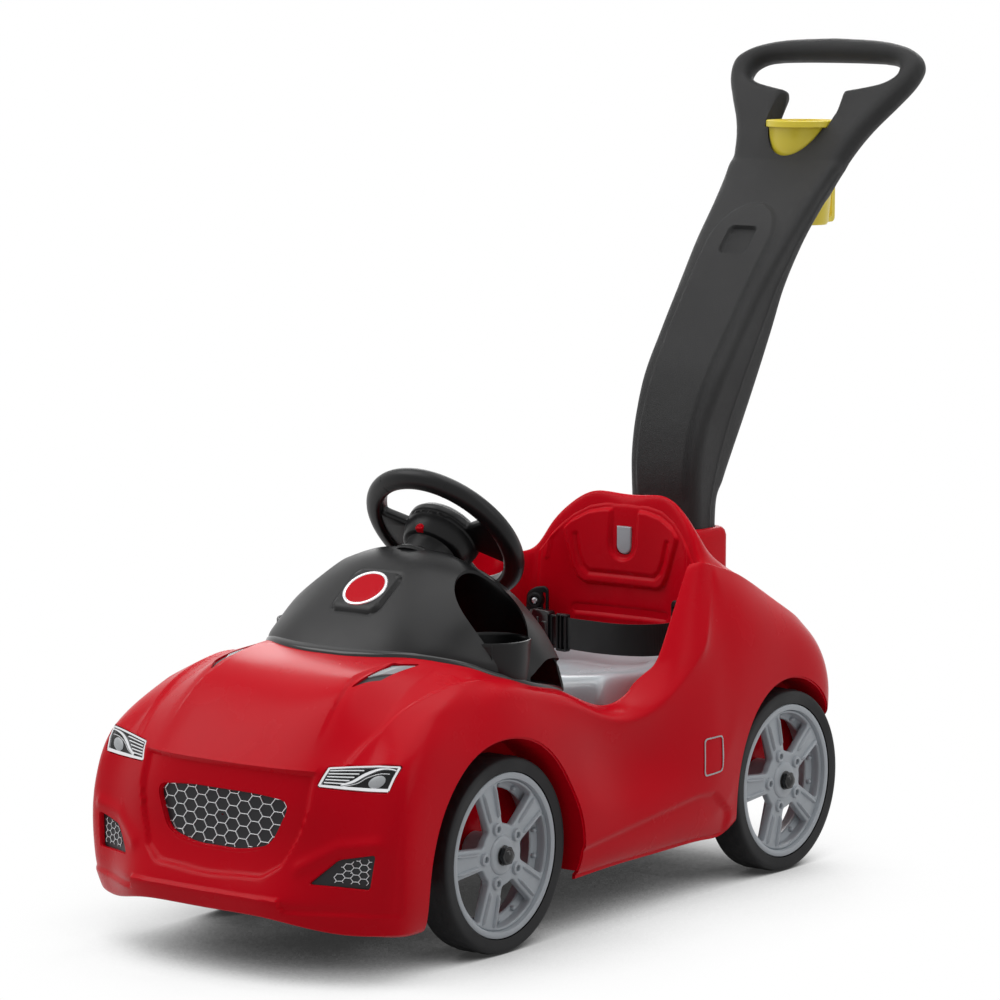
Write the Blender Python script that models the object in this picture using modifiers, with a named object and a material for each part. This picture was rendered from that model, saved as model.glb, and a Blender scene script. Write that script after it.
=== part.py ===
"""Kids ride-on push car: a moulded body on four free-rolling wheels, with a steering wheel, a lap belt and
a lift-out push handle that holds a cup. Metres, +Z up. The car faces -Y and its left side is +X. Everything
is placed from the front axle, and one empty moves the car so that the frame's origin is under its middle."""

import math

import bmesh
import bpy
import numpy as np
from mathutils import Matrix, Vector

# Overall places, measured from the front axle line and from the ground
FRONT_AXLE_Y = -0.3282
WHEELBASE = 0.531
FRONT_HALF = 0.212
DOOR_HALF = 0.203
TAIL_HALF = 0.195
NOSE_Y = -0.268
SILL_Z = 0.060
HOOD_EDGE_Z = 0.216
HOOD_Z = 0.308
DIP_Z = 0.226
SEAT_Z = 0.205
SEAT_FRONT_Y = 0.285
SEAT_BACK_Y = 0.478
SEAT_BACK_TOP_Z = 0.416
DECK_Z = 0.345
TAIL_REACH = 0.125
FLOOR_RISE = 0.014
SKIN = 0.004
GAP = 0.0003

# Wheels and axles
TYRE_RADIUS = 0.104
RIM_RADIUS = 0.0875
WHEEL_CENTRE_X = 0.1675
AXLE_RADIUS = 0.005
SPOKES = 5
HUB_RADIUS = 0.021
CAP_RADIUS = 0.010
SPACER_RADIUS = 0.011
BOSS_RADIUS = 0.016
BOSS_FACE_X = 0.138
FRONT_ARCH = (-0.018, 0.093, 0.139)
REAR_ARCH = (-0.002, 0.113, 0.111)
ARCH_INNER_X = 0.142

# Steering
STEER_CENTRE = Vector((0, 0.139, 0.4124))
STEER_TILT = math.radians(40)
STEER_RADIUS = 0.0957
GRIP_DEPTH = 0.011
GRIP_THICKNESS = 0.010
PAD_RADIUS = 0.041
DRUM_RADIUS = 0.034
DRUM_LENGTH = 0.040
SHAFT_RADIUS = 0.006
HORN_RADIUS = 0.022

# Cup pockets in the dash
DASH_HALF = FRONT_HALF - 0.054
POCKET_X = DASH_HALF - 0.038
POCKET_Y = 0.064
POCKET_RADIUS = 0.039
POCKET_RIM_Z = 0.318
POCKET_DEPTH = 0.050
DASH_WALL = 0.003
PANEL_SLOPE = 0.30

# Push handle, its socket, the latch and the cup
HANDLE_HALF = 0.0475
HANDLE_FRONT_Y = 0.547
HANDLE_DEPTH = 0.051
SOCKET_TOP_Z = 0.378
SOCKET_BOTTOM_Z = 0.200
SOCKET_HALF = 0.0555
SOCKET_FRONT_Y = 0.5345
SOCKET_BACK_Y = 0.6080
LEAN_FOOT = Vector((0, 0.8092, 0.7902))
LEAN = math.radians(36.87)
LOOP_HALF = 0.135
GRIP_TUBE = 0.030
LOOP_TOP = 0.181
LATCH_Z = 0.370
LATCH_HALF = 0.0100
LATCH_FACE_Y = 0.4720
CUP_Y = LEAN_FOOT.y + 0.0308
CUP_RIM_Z = LEAN_FOOT.z + 0.0508
CUP_RIM_RADIUS = 0.045
CUP_HEIGHT = 0.125
CUP_WALL = 0.002

# Lap belt
STRAP_WIDTH = 0.036
STRAP_THICKNESS = 0.002
ANCHOR_Z = 0.290
STRAP_Z = 0.2520

PARTS = "ride_on_car"
CUTTERS = "cutters"


def clear_scene():
    for item in list(bpy.data.objects):
        bpy.data.objects.remove(item, do_unlink=True)


def collection(name, hidden=False):
    made = bpy.data.collections.new(name)
    bpy.context.scene.collection.children.link(made)
    made.hide_render = hidden
    return made


def material(name, colour, roughness, metallic=0.0):
    made = bpy.data.materials.new(name)
    made.use_nodes = True
    shader = made.node_tree.nodes["Principled BSDF"]
    shader.inputs["Base Color"].default_value = (*colour, 1)
    shader.inputs["Roughness"].default_value = roughness
    shader.inputs["Metallic"].default_value = metallic
    return made


clear_scene()
parts = collection(PARTS)
cutters = collection(CUTTERS, hidden=True)
car = bpy.data.objects.new("car_frame", None)
car.location = (0, FRONT_AXLE_Y, 0)
parts.objects.link(car)

RED = material("red_moulding", (0.55, 0.004, 0.016), 0.35)
BLACK = material("black_moulding", (0.012, 0.012, 0.013), 0.45)
GRAINED = material("grained_black", (0.02, 0.02, 0.022), 0.6)
GREY = material("grey_moulding", (0.45, 0.48, 0.51), 0.4)
RUBBER = material("tyre_rubber", (0.015, 0.015, 0.016), 0.7)
STEEL = material("zinc_steel", (0.6, 0.6, 0.62), 0.3, 1.0)
YELLOW = material("yellow_moulding", (0.85, 0.62, 0.02), 0.35)
WEBBING = material("black_webbing", (0.012, 0.012, 0.012), 0.8)
PRINT = material("lamp_print", (0.5, 0.52, 0.55), 0.25)


def shade(mesh, angle=35):
    mesh.shade_smooth()
    mesh.set_sharp_from_angle(angle=math.radians(angle))


def add(name, mesh, look, hidden=False):
    """An object under the car's empty, among the parts, or among the cutters where it only shapes others."""
    made = bpy.data.objects.new(name, mesh)
    (cutters if hidden else parts).objects.link(made)
    made.parent = car
    if look:
        mesh.materials.append(look)
    if hidden:
        made.hide_render = True
        made.display_type = "WIRE"
    return made


def finish(name, work, look, hidden=False):
    bmesh.ops.recalc_face_normals(work, faces=work.faces)
    mesh = bpy.data.meshes.new(name)
    work.to_mesh(mesh)
    work.free()
    shade(mesh)
    return add(name, mesh, look, hidden)


def box(name, low, high, look=None, bevel=0.0, segments=2, hidden=False):
    low, high = Vector(low), Vector(high)
    work = bmesh.new()
    bmesh.ops.create_cube(work, size=1)
    bmesh.ops.scale(work, vec=high - low, verts=work.verts)
    bmesh.ops.translate(work, vec=(high + low) / 2, verts=work.verts)
    made = finish(name, work, look, hidden)
    if bevel:
        rounded = made.modifiers.new("edges", "BEVEL")
        rounded.width = bevel
        rounded.segments = segments
    return made


def aim(direction):
    """The turn that carries +Z to the direction."""
    return Vector((0, 0, 1)).rotation_difference(Vector(direction)).to_matrix().to_4x4()


def cylinder(name, radius, start, end, look=None, sides=24, hidden=False, bevel=0.0):
    start, end = Vector(start), Vector(end)
    work = bmesh.new()
    bmesh.ops.create_cone(
        work, cap_ends=True, segments=sides, radius1=radius, radius2=radius, depth=(end - start).length
    )
    bmesh.ops.transform(work, matrix=aim(end - start), verts=work.verts)
    bmesh.ops.translate(work, vec=(start + end) / 2, verts=work.verts)
    made = finish(name, work, look, hidden)
    if bevel:
        rounded = made.modifiers.new("edges", "BEVEL")
        rounded.width = bevel
        rounded.limit_method = "ANGLE"
        rounded.segments = 2
    return made


def turned(name, profile, look=None, steps=32, hidden=False, closed=False):
    """A profile of (radius, height) points, top to bottom on its outer side, turned about Z."""
    mesh = bpy.data.meshes.new(name)
    edges = [(i, i + 1) for i in range(len(profile) - 1)]
    if closed:
        edges.append((len(profile) - 1, 0))
    mesh.from_pydata([(r, 0, z) for r, z in profile], edges, [])
    made = add(name, mesh, look, hidden)
    screw = made.modifiers.new("turn", "SCREW")
    screw.steps = steps
    screw.render_steps = steps
    screw.use_merge_vertices = True
    screw.merge_threshold = 0.00001
    screw.use_smooth_shade = True
    return made


def evaluated(source):
    """The object's mesh as its modifiers leave it, with loose seams closed."""
    bpy.context.view_layer.update()
    graph = bpy.context.evaluated_depsgraph_get()
    mesh = bpy.data.meshes.new_from_object(source.evaluated_get(graph))
    work = bmesh.new()
    work.from_mesh(mesh)
    bmesh.ops.remove_doubles(work, verts=work.verts, dist=0.00001)
    bmesh.ops.recalc_face_normals(work, faces=work.faces)
    work.to_mesh(mesh)
    work.free()
    return mesh


def plate(name, loops, thickness, look=None, bevel=0.0, hidden=False, smooth=()):
    """Flat outlines, the first the outer one and the rest holes, made a plate in the XY plane."""
    flat = bpy.data.curves.new(name, "CURVE")
    flat.dimensions = "2D"
    flat.fill_mode = "BOTH"
    flat.extrude = thickness / 2 - bevel
    flat.bevel_depth = bevel
    flat.bevel_resolution = 1
    flat.offset = -bevel
    flat.resolution_u = 4
    for number, points in enumerate(loops):
        round_loop = number in smooth
        spline = flat.splines.new("BEZIER" if round_loop else "POLY")
        if round_loop:
            spline.bezier_points.add(len(points) - 1)
            for knot, (x, y) in zip(spline.bezier_points, points):
                knot.co = (x, y, 0)
                knot.handle_left_type = knot.handle_right_type = "AUTO"
        else:
            spline.points.add(len(points) - 1)
            for knot, (x, y) in zip(spline.points, points):
                knot.co = (x, y, 0, 1)
        spline.use_cyclic_u = True
    drawn = bpy.data.objects.new(name + "_outline", flat)
    parts.objects.link(drawn)
    mesh = evaluated(drawn)
    bpy.data.objects.remove(drawn, do_unlink=True)
    shade(mesh)
    return add(name, mesh, look, hidden)


def place(made, matrix):
    made.data.transform(matrix)
    return made


def frozen(made, name=None, look=None, hidden=False):
    """A plain mesh object in the place of one with modifiers, so that copies can share its mesh."""
    mesh = evaluated(made)
    label = name or made.name
    bpy.data.objects.remove(made, do_unlink=True)
    shade(mesh)
    mesh.materials.clear()
    return add(label, mesh, look, hidden)


def boolean(target, other, operation):
    step = target.modifiers.new(operation.lower() + "_" + other.name, "BOOLEAN")
    step.operation = operation
    step.object = other
    step.solver = "EXACT"
    return target


def cut(target, *others):
    for other in others:
        boolean(target, other, "DIFFERENCE")
    return target


def join(target, *others):
    for other in others:
        boolean(target, other, "UNION")
    return target


# The body's control points. Each station is one row that runs from the lower edge of the skirt, up over the
# shoulder to the cockpit rim, and down the inner wall to the middle of the floor. Stations run from the nose,
# round the front corner and along the flank, to the tail.
def nose_stations():
    n, s, e, h = NOSE_Y, SILL_Z, HOOD_EDGE_Z, HOOD_Z
    floor = s + FLOOR_RISE
    w = FRONT_HALF
    return [
        [(0, n + 0.034, s + 0.006), (0, n + 0.006, s + 0.010), (0, n, s + 0.032), (0, n + 0.021, e - 0.081),
         (0, n + 0.028, e - 0.036), (0, n + 0.036, e), (0, n + 0.116, h - 0.024), (0, n + 0.193, h - 0.003),
         (0, -0.012, h + 0.002), (0, 0.012, 0.230), (0, 0.032, floor + 0.006), (0, 0.060, floor)],
        [(0.068, n + 0.036, s + 0.006), (0.068, n + 0.007, s + 0.010), (0.070, n + 0.001, s + 0.032),
         (0.072, n + 0.023, e - 0.081), (0.074, n + 0.031, e - 0.036), (0.074, n + 0.040, e),
         (0.070, n + 0.118, h - 0.022), (0.068, n + 0.199, h - 0.003), (0.060, -0.008, h + 0.002),
         (0.056, 0.014, 0.230), (0.052, 0.034, floor + 0.006), (0, 0.075, floor)],
        [(0.110, n + 0.046, s), (0.112, n + 0.018, s + 0.004), (0.114, n + 0.011, s + 0.028),
         (0.118, n + 0.030, e - 0.081), (0.120, n + 0.041, e - 0.036), (0.118, n + 0.053, e),
         (0.104, n + 0.130, h - 0.020), (0.104, n + 0.211, h - 0.004), (0.092, 0.004, h),
         (0.088, 0.020, 0.230), (0.084, 0.040, floor + 0.006), (0, 0.090, floor)],
        [(0.152, n + 0.066, s - 0.008), (0.157, n + 0.043, s - 0.004), (0.163, n + 0.040, s + 0.025),
         (0.168, n + 0.048, e - 0.081), (0.168, n + 0.060, e - 0.036), (0.162, n + 0.074, e + 0.006),
         (0.140, n + 0.142, h - 0.034), (0.128, n + 0.222, h - 0.011), (0.110, 0.016, h - 0.006),
         (0.106, 0.032, 0.225), (0.100, 0.050, floor + 0.006), (0, 0.105, floor)],
        [(w - 0.026, n + 0.086, s - 0.010), (w - 0.016, n + 0.070, s - 0.004),
        (w - 0.009, n + 0.064, s + 0.025),
         (w - 0.006, n + 0.064, e - 0.081), (w - 0.008, n + 0.072, e - 0.036),
         (w - 0.018, n + 0.091, e + 0.010),
         (w - 0.040, n + 0.152, h - 0.040), (w - 0.056, n + 0.232, h - 0.018), (0.120, 0.032, h - 0.014),
         (0.116, 0.048, 0.220), (0.110, 0.062, floor + 0.006), (0, 0.120, floor)],
        [(w - 0.020, n + 0.120, s - 0.010), (w - 0.011, n + 0.112, s - 0.004),
        (w - 0.002, n + 0.108, s + 0.025),
         (w, n + 0.108, e - 0.081), (w - 0.002, n + 0.114, e - 0.036), (w - 0.009, n + 0.130, e + 0.012),
         (w - 0.028, n + 0.178, h - 0.041), (w - 0.046, n + 0.244, h - 0.023), (0.126, 0.050, h - 0.020),
         (0.121, 0.062, 0.215), (0.116, 0.074, floor + 0.006), (0, 0.135, floor)],
        [(w - 0.019, -0.085, s - 0.005), (w - 0.010, -0.085, s), (w - 0.003, -0.085, s + 0.030),
         (w - 0.001, -0.085, e - 0.081), (w - 0.003, -0.082, e - 0.034), (w - 0.009, -0.076, e + 0.010),
         (w - 0.024, -0.048, h - 0.044), (w - 0.042, -0.002, h - 0.026), (0.130, 0.068, h - 0.028),
         (0.124, 0.078, 0.210), (0.120, 0.088, floor + 0.006), (0, 0.150, floor)],
        [(w - 0.021, 0, s - 0.005), (w - 0.012, 0, s), (w - 0.006, 0, s + 0.030), (w - 0.004, 0, e - 0.081),
         (w - 0.006, 0, e - 0.030), (w - 0.009, 0, e + 0.016), (w - 0.021, 0.004, h - 0.045),
         (w - 0.038, 0.030, h - 0.030), (0.133, 0.088, h - 0.037), (0.127, 0.096, 0.205),
         (0.123, 0.104, floor + 0.006), (0, 0.165, floor)],
        [(w - 0.024, 0.075, s - 0.002), (w - 0.015, 0.075, s + 0.003), (w - 0.009, 0.075, s + 0.030),
         (w - 0.009, 0.075, e - 0.081), (w - 0.012, 0.075, e - 0.036), (w - 0.014, 0.075, e + 0.006),
         (w - 0.022, 0.075, h - 0.056), (w - 0.037, 0.080, h - 0.041), (0.137, 0.110, h - 0.049),
         (0.131, 0.116, 0.195), (0.126, 0.122, floor + 0.006), (0, 0.180, floor)],
    ]


def door_stations():
    s, e, dip = SILL_Z, HOOD_EDGE_Z, DIP_Z
    floor = s + FLOOR_RISE
    w = DOOR_HALF
    return [
        [(w - 0.015, 0.130, s), (w - 0.007, 0.130, s + 0.005), (w, 0.130, s + 0.030),
        (w - 0.001, 0.130, e - 0.081),
         (w - 0.008, 0.130, e - 0.041), (w - 0.010, 0.130, e - 0.006), (w - 0.014, 0.130, dip + 0.014),
         (w - 0.028, 0.133, dip + 0.026), (0.142, 0.140, dip + 0.027), (0.137, 0.146, 0.175),
         (0.132, 0.150, floor + 0.006), (0, 0.200, floor)],
        [(w - 0.016, 0.200, s + 0.002), (w - 0.007, 0.200, s + 0.007), (w, 0.200, s + 0.028),
         (w - 0.004, 0.200, s + 0.065), (w - 0.015, 0.200, s + 0.105), (w - 0.015, 0.200, dip - 0.030),
         (w - 0.013, 0.200, dip - 0.008), (w - 0.025, 0.200, dip + 0.002), (0.156, 0.200, dip + 0.002),
         (0.149, 0.202, 0.160), (0.140, 0.204, floor + 0.006), (0, 0.222, floor)],
        [(w - 0.017, 0.280, s + 0.002), (w - 0.008, 0.280, s + 0.007), (w - 0.001, 0.280, s + 0.030),
         (w - 0.002, 0.280, s + 0.068), (w - 0.009, 0.280, s + 0.105), (w - 0.009, 0.280, dip - 0.024),
         (w - 0.009, 0.276, dip + 0.002), (w - 0.023, 0.268, dip + 0.012), (0.159, 0.255, dip + 0.012),
         (0.152, 0.254, 0.165), (0.142, 0.255, floor + 0.010), (0, 0.255, floor + 0.002)],
        [(w - 0.019, 0.360, s + 0.002), (w - 0.010, 0.360, s + 0.007), (w - 0.003, 0.360, s + 0.030),
         (w, 0.360, s + 0.070), (w - 0.001, 0.362, s + 0.125), (w - 0.006, 0.366, dip + 0.010),
         (w - 0.013, 0.362, dip + 0.054), (w - 0.021, 0.334, dip + 0.052), (0.166, 0.303, dip + 0.043),
         (0.156, 0.300, SEAT_Z + 0.022), (0.140, SEAT_FRONT_Y, SEAT_Z), (0, SEAT_FRONT_Y, SEAT_Z)],
    ]


def tail_stations():
    s, dip, back, top, deck, seat = SILL_Z, DIP_Z, SEAT_BACK_Y, SEAT_BACK_TOP_Z, DECK_Z, SEAT_Z
    w = TAIL_HALF
    axle = WHEELBASE
    end = WHEELBASE + TAIL_REACH
    return [
        [(w - 0.013, axle - 0.119, s + 0.006), (w - 0.004, axle - 0.119, s + 0.012),
        (w + 0.003, axle - 0.116, s + 0.060),
         (w + 0.005, axle - 0.113, s + 0.130), (w - 0.003, axle - 0.111, dip + 0.034),
         (w - 0.018, axle - 0.111, dip + 0.088), (w - 0.036, axle - 0.111, dip + 0.131),
         (w - 0.040, axle - 0.129, dip + 0.138), (0.147, 0.386, dip + 0.132), (0.146, 0.372, seat + 0.030),
         (0.138, 0.365, seat), (0, 0.335, seat)],
        [(w - 0.011, axle - 0.056, s + 0.040), (w - 0.003, axle - 0.056, s + 0.048),
        (w, axle - 0.056, s + 0.092),
         (w + 0.001, axle - 0.056, s + 0.142), (w - 0.005, axle - 0.056, dip + 0.042),
         (w - 0.019, axle - 0.056, dip + 0.086), (w - 0.037, axle - 0.056, dip + 0.117),
         (0.152, 0.455, dip + 0.124), (0.147, back - 0.046, dip + 0.124), (0.142, back - 0.056, dip + 0.088),
         (0.134, back - 0.058, seat + 0.002), (0, 0.385, seat)],
        [(w - 0.011, axle + 0.004, s + 0.050), (w - 0.006, axle + 0.004, s + 0.060),
        (w - 0.002, axle + 0.004, s + 0.100),
         (w - 0.002, axle + 0.004, s + 0.142), (w - 0.007, axle + 0.004, dip + 0.028),
         (w - 0.019, axle + 0.004, dip + 0.064), (w - 0.036, axle + 0.004, dip + 0.086),
         (0.132, back + 0.032, dip + 0.112), (0.126, back - 0.008, top - 0.072),
         (0.120, back - 0.028, top - 0.082),
         (0.122, back - 0.040, seat + 0.004), (0, 0.425, seat)],
        [(w - 0.016, axle + 0.060, s + 0.090), (w - 0.009, axle + 0.068, s + 0.096),
        (w - 0.006, axle + 0.074, s + 0.112),
         (w - 0.006, axle + 0.074, s + 0.142), (w - 0.010, axle + 0.069, dip + 0.010),
         (w - 0.019, axle + 0.060, dip + 0.038), (w - 0.035, axle + 0.054, dip + 0.060),
         (0.112, back + 0.040, dip + 0.116), (0.106, back + 0.002, top - 0.044),
         (0.100, back - 0.018, top - 0.056),
         (0.102, back - 0.030, seat + 0.006), (0, back - 0.024, seat + 0.002)],
        [(w - 0.043, axle + 0.084, s + 0.086), (w - 0.037, axle + 0.099, s + 0.092),
        (w - 0.033, axle + 0.107, s + 0.110),
         (w - 0.032, axle + 0.109, s + 0.142), (w - 0.035, axle + 0.104, dip + 0.006),
         (w - 0.043, axle + 0.094, dip + 0.032), (w - 0.060, axle + 0.082, dip + 0.050),
         (0.084, back + 0.044, dip + 0.119), (0.078, back + 0.010, top - 0.020),
         (0.073, back - 0.008, top - 0.032),
         (0.075, back - 0.018, seat + 0.008), (0, back - 0.012, seat + 0.010)],
        [(0.085, end - 0.031, s + 0.080), (0.088, end - 0.014, s + 0.086), (0.090, end - 0.004, s + 0.106),
         (0.092, end - 0.001, s + 0.140), (0.092, end - 0.004, dip + 0.004),
         (0.090, end - 0.016, dip + 0.030),
         (0.080, end - 0.036, dip + 0.052), (0.048, back + 0.046, deck), (0.045, back + 0.014, top - 0.006),
         (0.042, back - 0.002, top - 0.018), (0.042, back - 0.010, seat + 0.012),
         (0, back - 0.009, seat + 0.060)],
        [(0, end - 0.028, s + 0.080), (0, end - 0.011, s + 0.086), (0, end - 0.001, s + 0.106),
         (0, end + 0.002, s + 0.140), (0, end - 0.001, dip + 0.004), (0, end - 0.013, dip + 0.030),
         (0, end - 0.034, dip + 0.052), (0, back + 0.046, deck), (0, back + 0.016, top),
         (0, back, top - 0.014),
         (0, back - 0.004, top - 0.060), (0, back - 0.006, top - 0.110)],
    ]


def tightened(stations, rounds=3):
    """The control points moved so that the smoothed surface runs close to the places given for it."""
    target = np.array(stations)
    cage = target.copy()
    flip = np.array((-1, 1, 1))
    for _ in range(rounds):
        wide = np.concatenate([cage[1:2] * flip, cage, cage[-2:-1] * flip])
        tall = np.concatenate([2 * wide[:, :1] - wide[:, 1:2], wide, wide[:, -2:-1] * flip], axis=1)
        across = (tall[:-2] + 4 * tall[1:-1] + tall[2:]) / 6
        cage += target - (across[:, :-2] + 4 * across[:, 1:-1] + across[:, 2:]) / 6
    return cage


def body_sheet(name, rows=None, levels=1):
    """Half of the body's outer surface from its control points, mirrored across the middle."""
    stations = tightened(nose_stations() + door_stations() + tail_stations())
    first, last = rows or (0, len(stations[0]) - 1)
    work = bmesh.new()
    grid = [[work.verts.new(point) for point in station[first:last + 1]] for station in stations]
    for near, far in zip(grid, grid[1:]):
        for i in range(len(near) - 1):
            work.faces.new((near[i], far[i], far[i + 1], near[i + 1]))
    mesh = bpy.data.meshes.new(name)
    work.to_mesh(mesh)
    work.free()
    made = add(name, mesh, None)
    half = made.modifiers.new("mirror", "MIRROR")
    half.use_clip = True
    half.merge_threshold = 0.0001
    smooth = made.modifiers.new("smooth", "SUBSURF")
    smooth.levels = levels
    smooth.render_levels = levels
    return made


def skin(name, inside, outside, look=None, hidden=False):
    """The body's surface with a thickness, from the depth inside it to the height outside it."""
    made = body_sheet(name)
    wall = made.modifiers.new("wall", "SOLIDIFY")
    wall.thickness = outside - inside
    wall.offset = (outside + inside) / (outside - inside)
    if hidden:
        made = frozen(made, name, None, hidden=True)
    elif look:
        made.data.materials.append(look)
    return made


def prism(name, corners, grow=0.0, depth=0.016, hidden=True, look=None):
    """The outline through the corners, pushed both ways along its normal, with each side moved out by grow."""
    points = [Vector(corner) for corner in corners]
    centre = sum(points, Vector()) / len(points)
    normal = Vector()
    for near, far in zip(points, points[1:] + points[:1]):
        normal += (near - centre).cross(far - centre)
    normal.normalize()
    flat = [point - normal * (point - centre).dot(normal) for point in points]
    moved = []
    for i, point in enumerate(flat):
        before = (point - flat[i - 1]).normalized().cross(normal)
        after = (flat[(i + 1) % len(flat)] - point).normalized().cross(normal)
        outward = (before + after).normalized()
        moved.append(point + outward * grow / max(outward.dot(before), 0.3))
    work = bmesh.new()
    low = [work.verts.new(point - normal * depth) for point in moved]
    high = [work.verts.new(point + normal * depth) for point in moved]
    work.faces.new(low)
    work.faces.new(high)
    for i in range(len(low)):
        j = (i + 1) % len(low)
        work.faces.new((low[i], low[j], high[j], high[i]))
    return finish(name, work, look, hidden)


def mirrored(corners):
    return [(-x, y, z) for x, y, z in reversed(corners)]


def loft(name, rings, look=None, hidden=False):
    """Closed rings of equal count joined one to the next, with the first and the last filled."""
    work = bmesh.new()
    made = [[work.verts.new(point) for point in ring] for ring in rings]
    for near, far in zip(made, made[1:]):
        for i in range(len(near)):
            j = (i + 1) % len(near)
            work.faces.new((near[i], near[j], far[j], far[i]))
    work.faces.new(made[0])
    work.faces.new(made[-1])
    return finish(name, work, look, hidden)


def rounded(half, front, back, z, radius, steps=3):
    """A rectangle with round corners, level at z."""
    ring = []
    for cx, cy, start in (
        (half - radius, back - radius, 0),
        (radius - half, back - radius, 90),
        (radius - half, front + radius, 180),
        (half - radius, front + radius, 270),
    ):
        for step in range(steps + 1):
            turn = math.radians(start + 90 * step / steps)
            ring.append((cx + radius * math.cos(turn), cy + radius * math.sin(turn), z))
    return ring


def sides(label):
    return ((1, label + "_left"), (-1, label + "_right"))


# Body shell: the moulded skin with the bearing beams, the axle bosses and the handle's socket moulded on
body = skin("body_shell", -SKIN, 0, RED)
clearance = skin("body_clearance", -0.012, GAP + 0.0001, hidden=True)

socket_block = box(
    "socket_block", (-SOCKET_HALF, SOCKET_FRONT_Y, SOCKET_BOTTOM_Z),
    (SOCKET_HALF, SOCKET_BACK_Y, SOCKET_TOP_Z),
    hidden=True, bevel=0.006,
)
socket_pocket = loft(
    "socket_pocket",
    [rounded(HANDLE_HALF + 0.0008, HANDLE_FRONT_Y - 0.0008, HANDLE_FRONT_Y + HANDLE_DEPTH + 0.0008, z, 0.0145)
     for z in (SOCKET_BOTTOM_Z + 0.004, SOCKET_TOP_Z + 0.05)],
    hidden=True,
)
beams = [
    box("front_beam", (-0.136, 0.012, 0.090), (0.136, 0.0305, 0.118), hidden=True),
    box("rear_beam", (-0.136, SEAT_BACK_Y - 0.026, 0.188), (0.136, WHEELBASE - 0.009, 0.2025), hidden=True),
]
for side in (-1, 1):
    beams.append(box("hanger", (side * 0.124 - 0.012, WHEELBASE - 0.035, 0.094),
                     (side * 0.124 + 0.012, WHEELBASE - 0.010, 0.200), hidden=True))
    for y in (0, WHEELBASE):
        beams.append(
            cylinder("boss", BOSS_RADIUS, (side * 0.112, y, TYRE_RADIUS),
            (side * BOSS_FACE_X, y, TYRE_RADIUS), hidden=True)
        )
join(body, socket_block, *beams)
arches = []
for reach, height, radius in (FRONT_ARCH, (WHEELBASE + REAR_ARCH[0], REAR_ARCH[1], REAR_ARCH[2])):
    for side in (-1, 1):
        arches.append(
            cylinder("arch", radius, (side * ARCH_INNER_X, reach, height), (side * 0.26, reach, height),
            sides=40, hidden=True)
        )
bores = [
    cylinder("bore", AXLE_RADIUS + GAP, (-0.15, y, TYRE_RADIUS), (0.15, y, TYRE_RADIUS), sides=16,
    hidden=True)
    for y in (0, WHEELBASE)
]
cut(body, socket_pocket, *arches, *bores)

# Wheels. The rim is drawn with its outer face up and a spoke along +X, then turned onto each axle end
def window(number):
    """One opening between two spokes, wider at the barrel than at the hub."""
    middle = 2 * math.pi * (number + 0.5) / SPOKES
    points = []
    for radius, half_spoke in ((0.0765, 0.0155), (0.033, 0.0115)):
        reach = math.pi / SPOKES - math.asin(half_spoke / radius)
        span = [reach * k / 3 for k in range(-3, 4)] if radius > 0.05 else [reach, 0, -reach]
        points += [(radius * math.cos(middle + t), radius * math.sin(middle + t)) for t in span]
    return points


face_outline = [
    (0.0838 * math.cos(2 * math.pi * (k + 0.3) / 32), 0.0838 * math.sin(2 * math.pi * (k + 0.3) / 32))
    for k in range(32)
]
rim = turned(
    "rim_barrel",
    [(RIM_RADIUS, 0.0200), (RIM_RADIUS, -0.0200), (0.0805, -0.0200), (0.0805, 0.0200)],
    steps=32, closed=True,
)
wheel_face = place(plate("wheel_face", [face_outline] + [window(k) for k in range(SPOKES)], 0.010,
    hidden=True),
                   Matrix.Translation((0, 0, 0.0105)))
hub = cylinder("hub", HUB_RADIUS, (0, 0, -0.0215), (0, 0, 0.0180), sides=24, hidden=True)
hub_bore = cylinder("hub_bore", AXLE_RADIUS + GAP, (0, 0, -0.03), (0, 0, 0.03), sides=20, hidden=True)
join(rim, wheel_face, hub)
cut(rim, hub_bore)
rim = frozen(rim, "rim_front_left", GREY)
tyre = frozen(
    turned(
        "tyre",
        [(0.0878, 0.0200), (0.0965, 0.0225), (0.1015, 0.0195), (TYRE_RADIUS, 0.0120), (TYRE_RADIUS, -0.0120),
         (0.1015, -0.0195), (0.0965, -0.0225), (0.0878, -0.0200)],
        steps=32, closed=True,
    ),
    "tyre_front_left", RUBBER,
)
cap = turned("cap_dome", [(0, 0.0290), (0.0060, 0.0280), (0.0094, 0.0245), (CAP_RADIUS, 0.0184), (0, 0.0184)],
    steps=16)
cut(cap, cylinder("cap_bore", AXLE_RADIUS + GAP, (0, 0, 0.01), (0, 0, 0.0255), sides=16, hidden=True))
cap = frozen(cap, "axle_cap_front_left", BLACK)
spacer = cylinder("spacer_ring", SPACER_RADIUS, (0, 0, -0.0292), (0, 0, -0.0218), sides=20)
cut(spacer, hub_bore)
spacer = frozen(spacer, "spacer_front_left", BLACK)
for end, y in (("front", 0), ("rear", WHEELBASE)):
    for side, label in sides(end):
        stance = Matrix(((0, 0, side, side * WHEEL_CENTRE_X), (-1, 0, 0, y), (0, -side, 0, TYRE_RADIUS),
            (0, 0, 0, 1)))
        for first, kind in ((rim, "rim_"), (tyre, "tyre_"), (cap, "axle_cap_"), (spacer, "spacer_")):
            if label == "front_left":
                copy = first
            else:
                copy = bpy.data.objects.new(kind + label, first.data)
                parts.objects.link(copy)
                copy.parent = car
            copy.matrix_basis = stance
    reach = WHEEL_CENTRE_X + 0.0250
    cylinder(end + "_axle", AXLE_RADIUS, (-reach, y, TYRE_RADIUS), (reach, y, TYRE_RADIUS), STEEL, sides=20)

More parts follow.
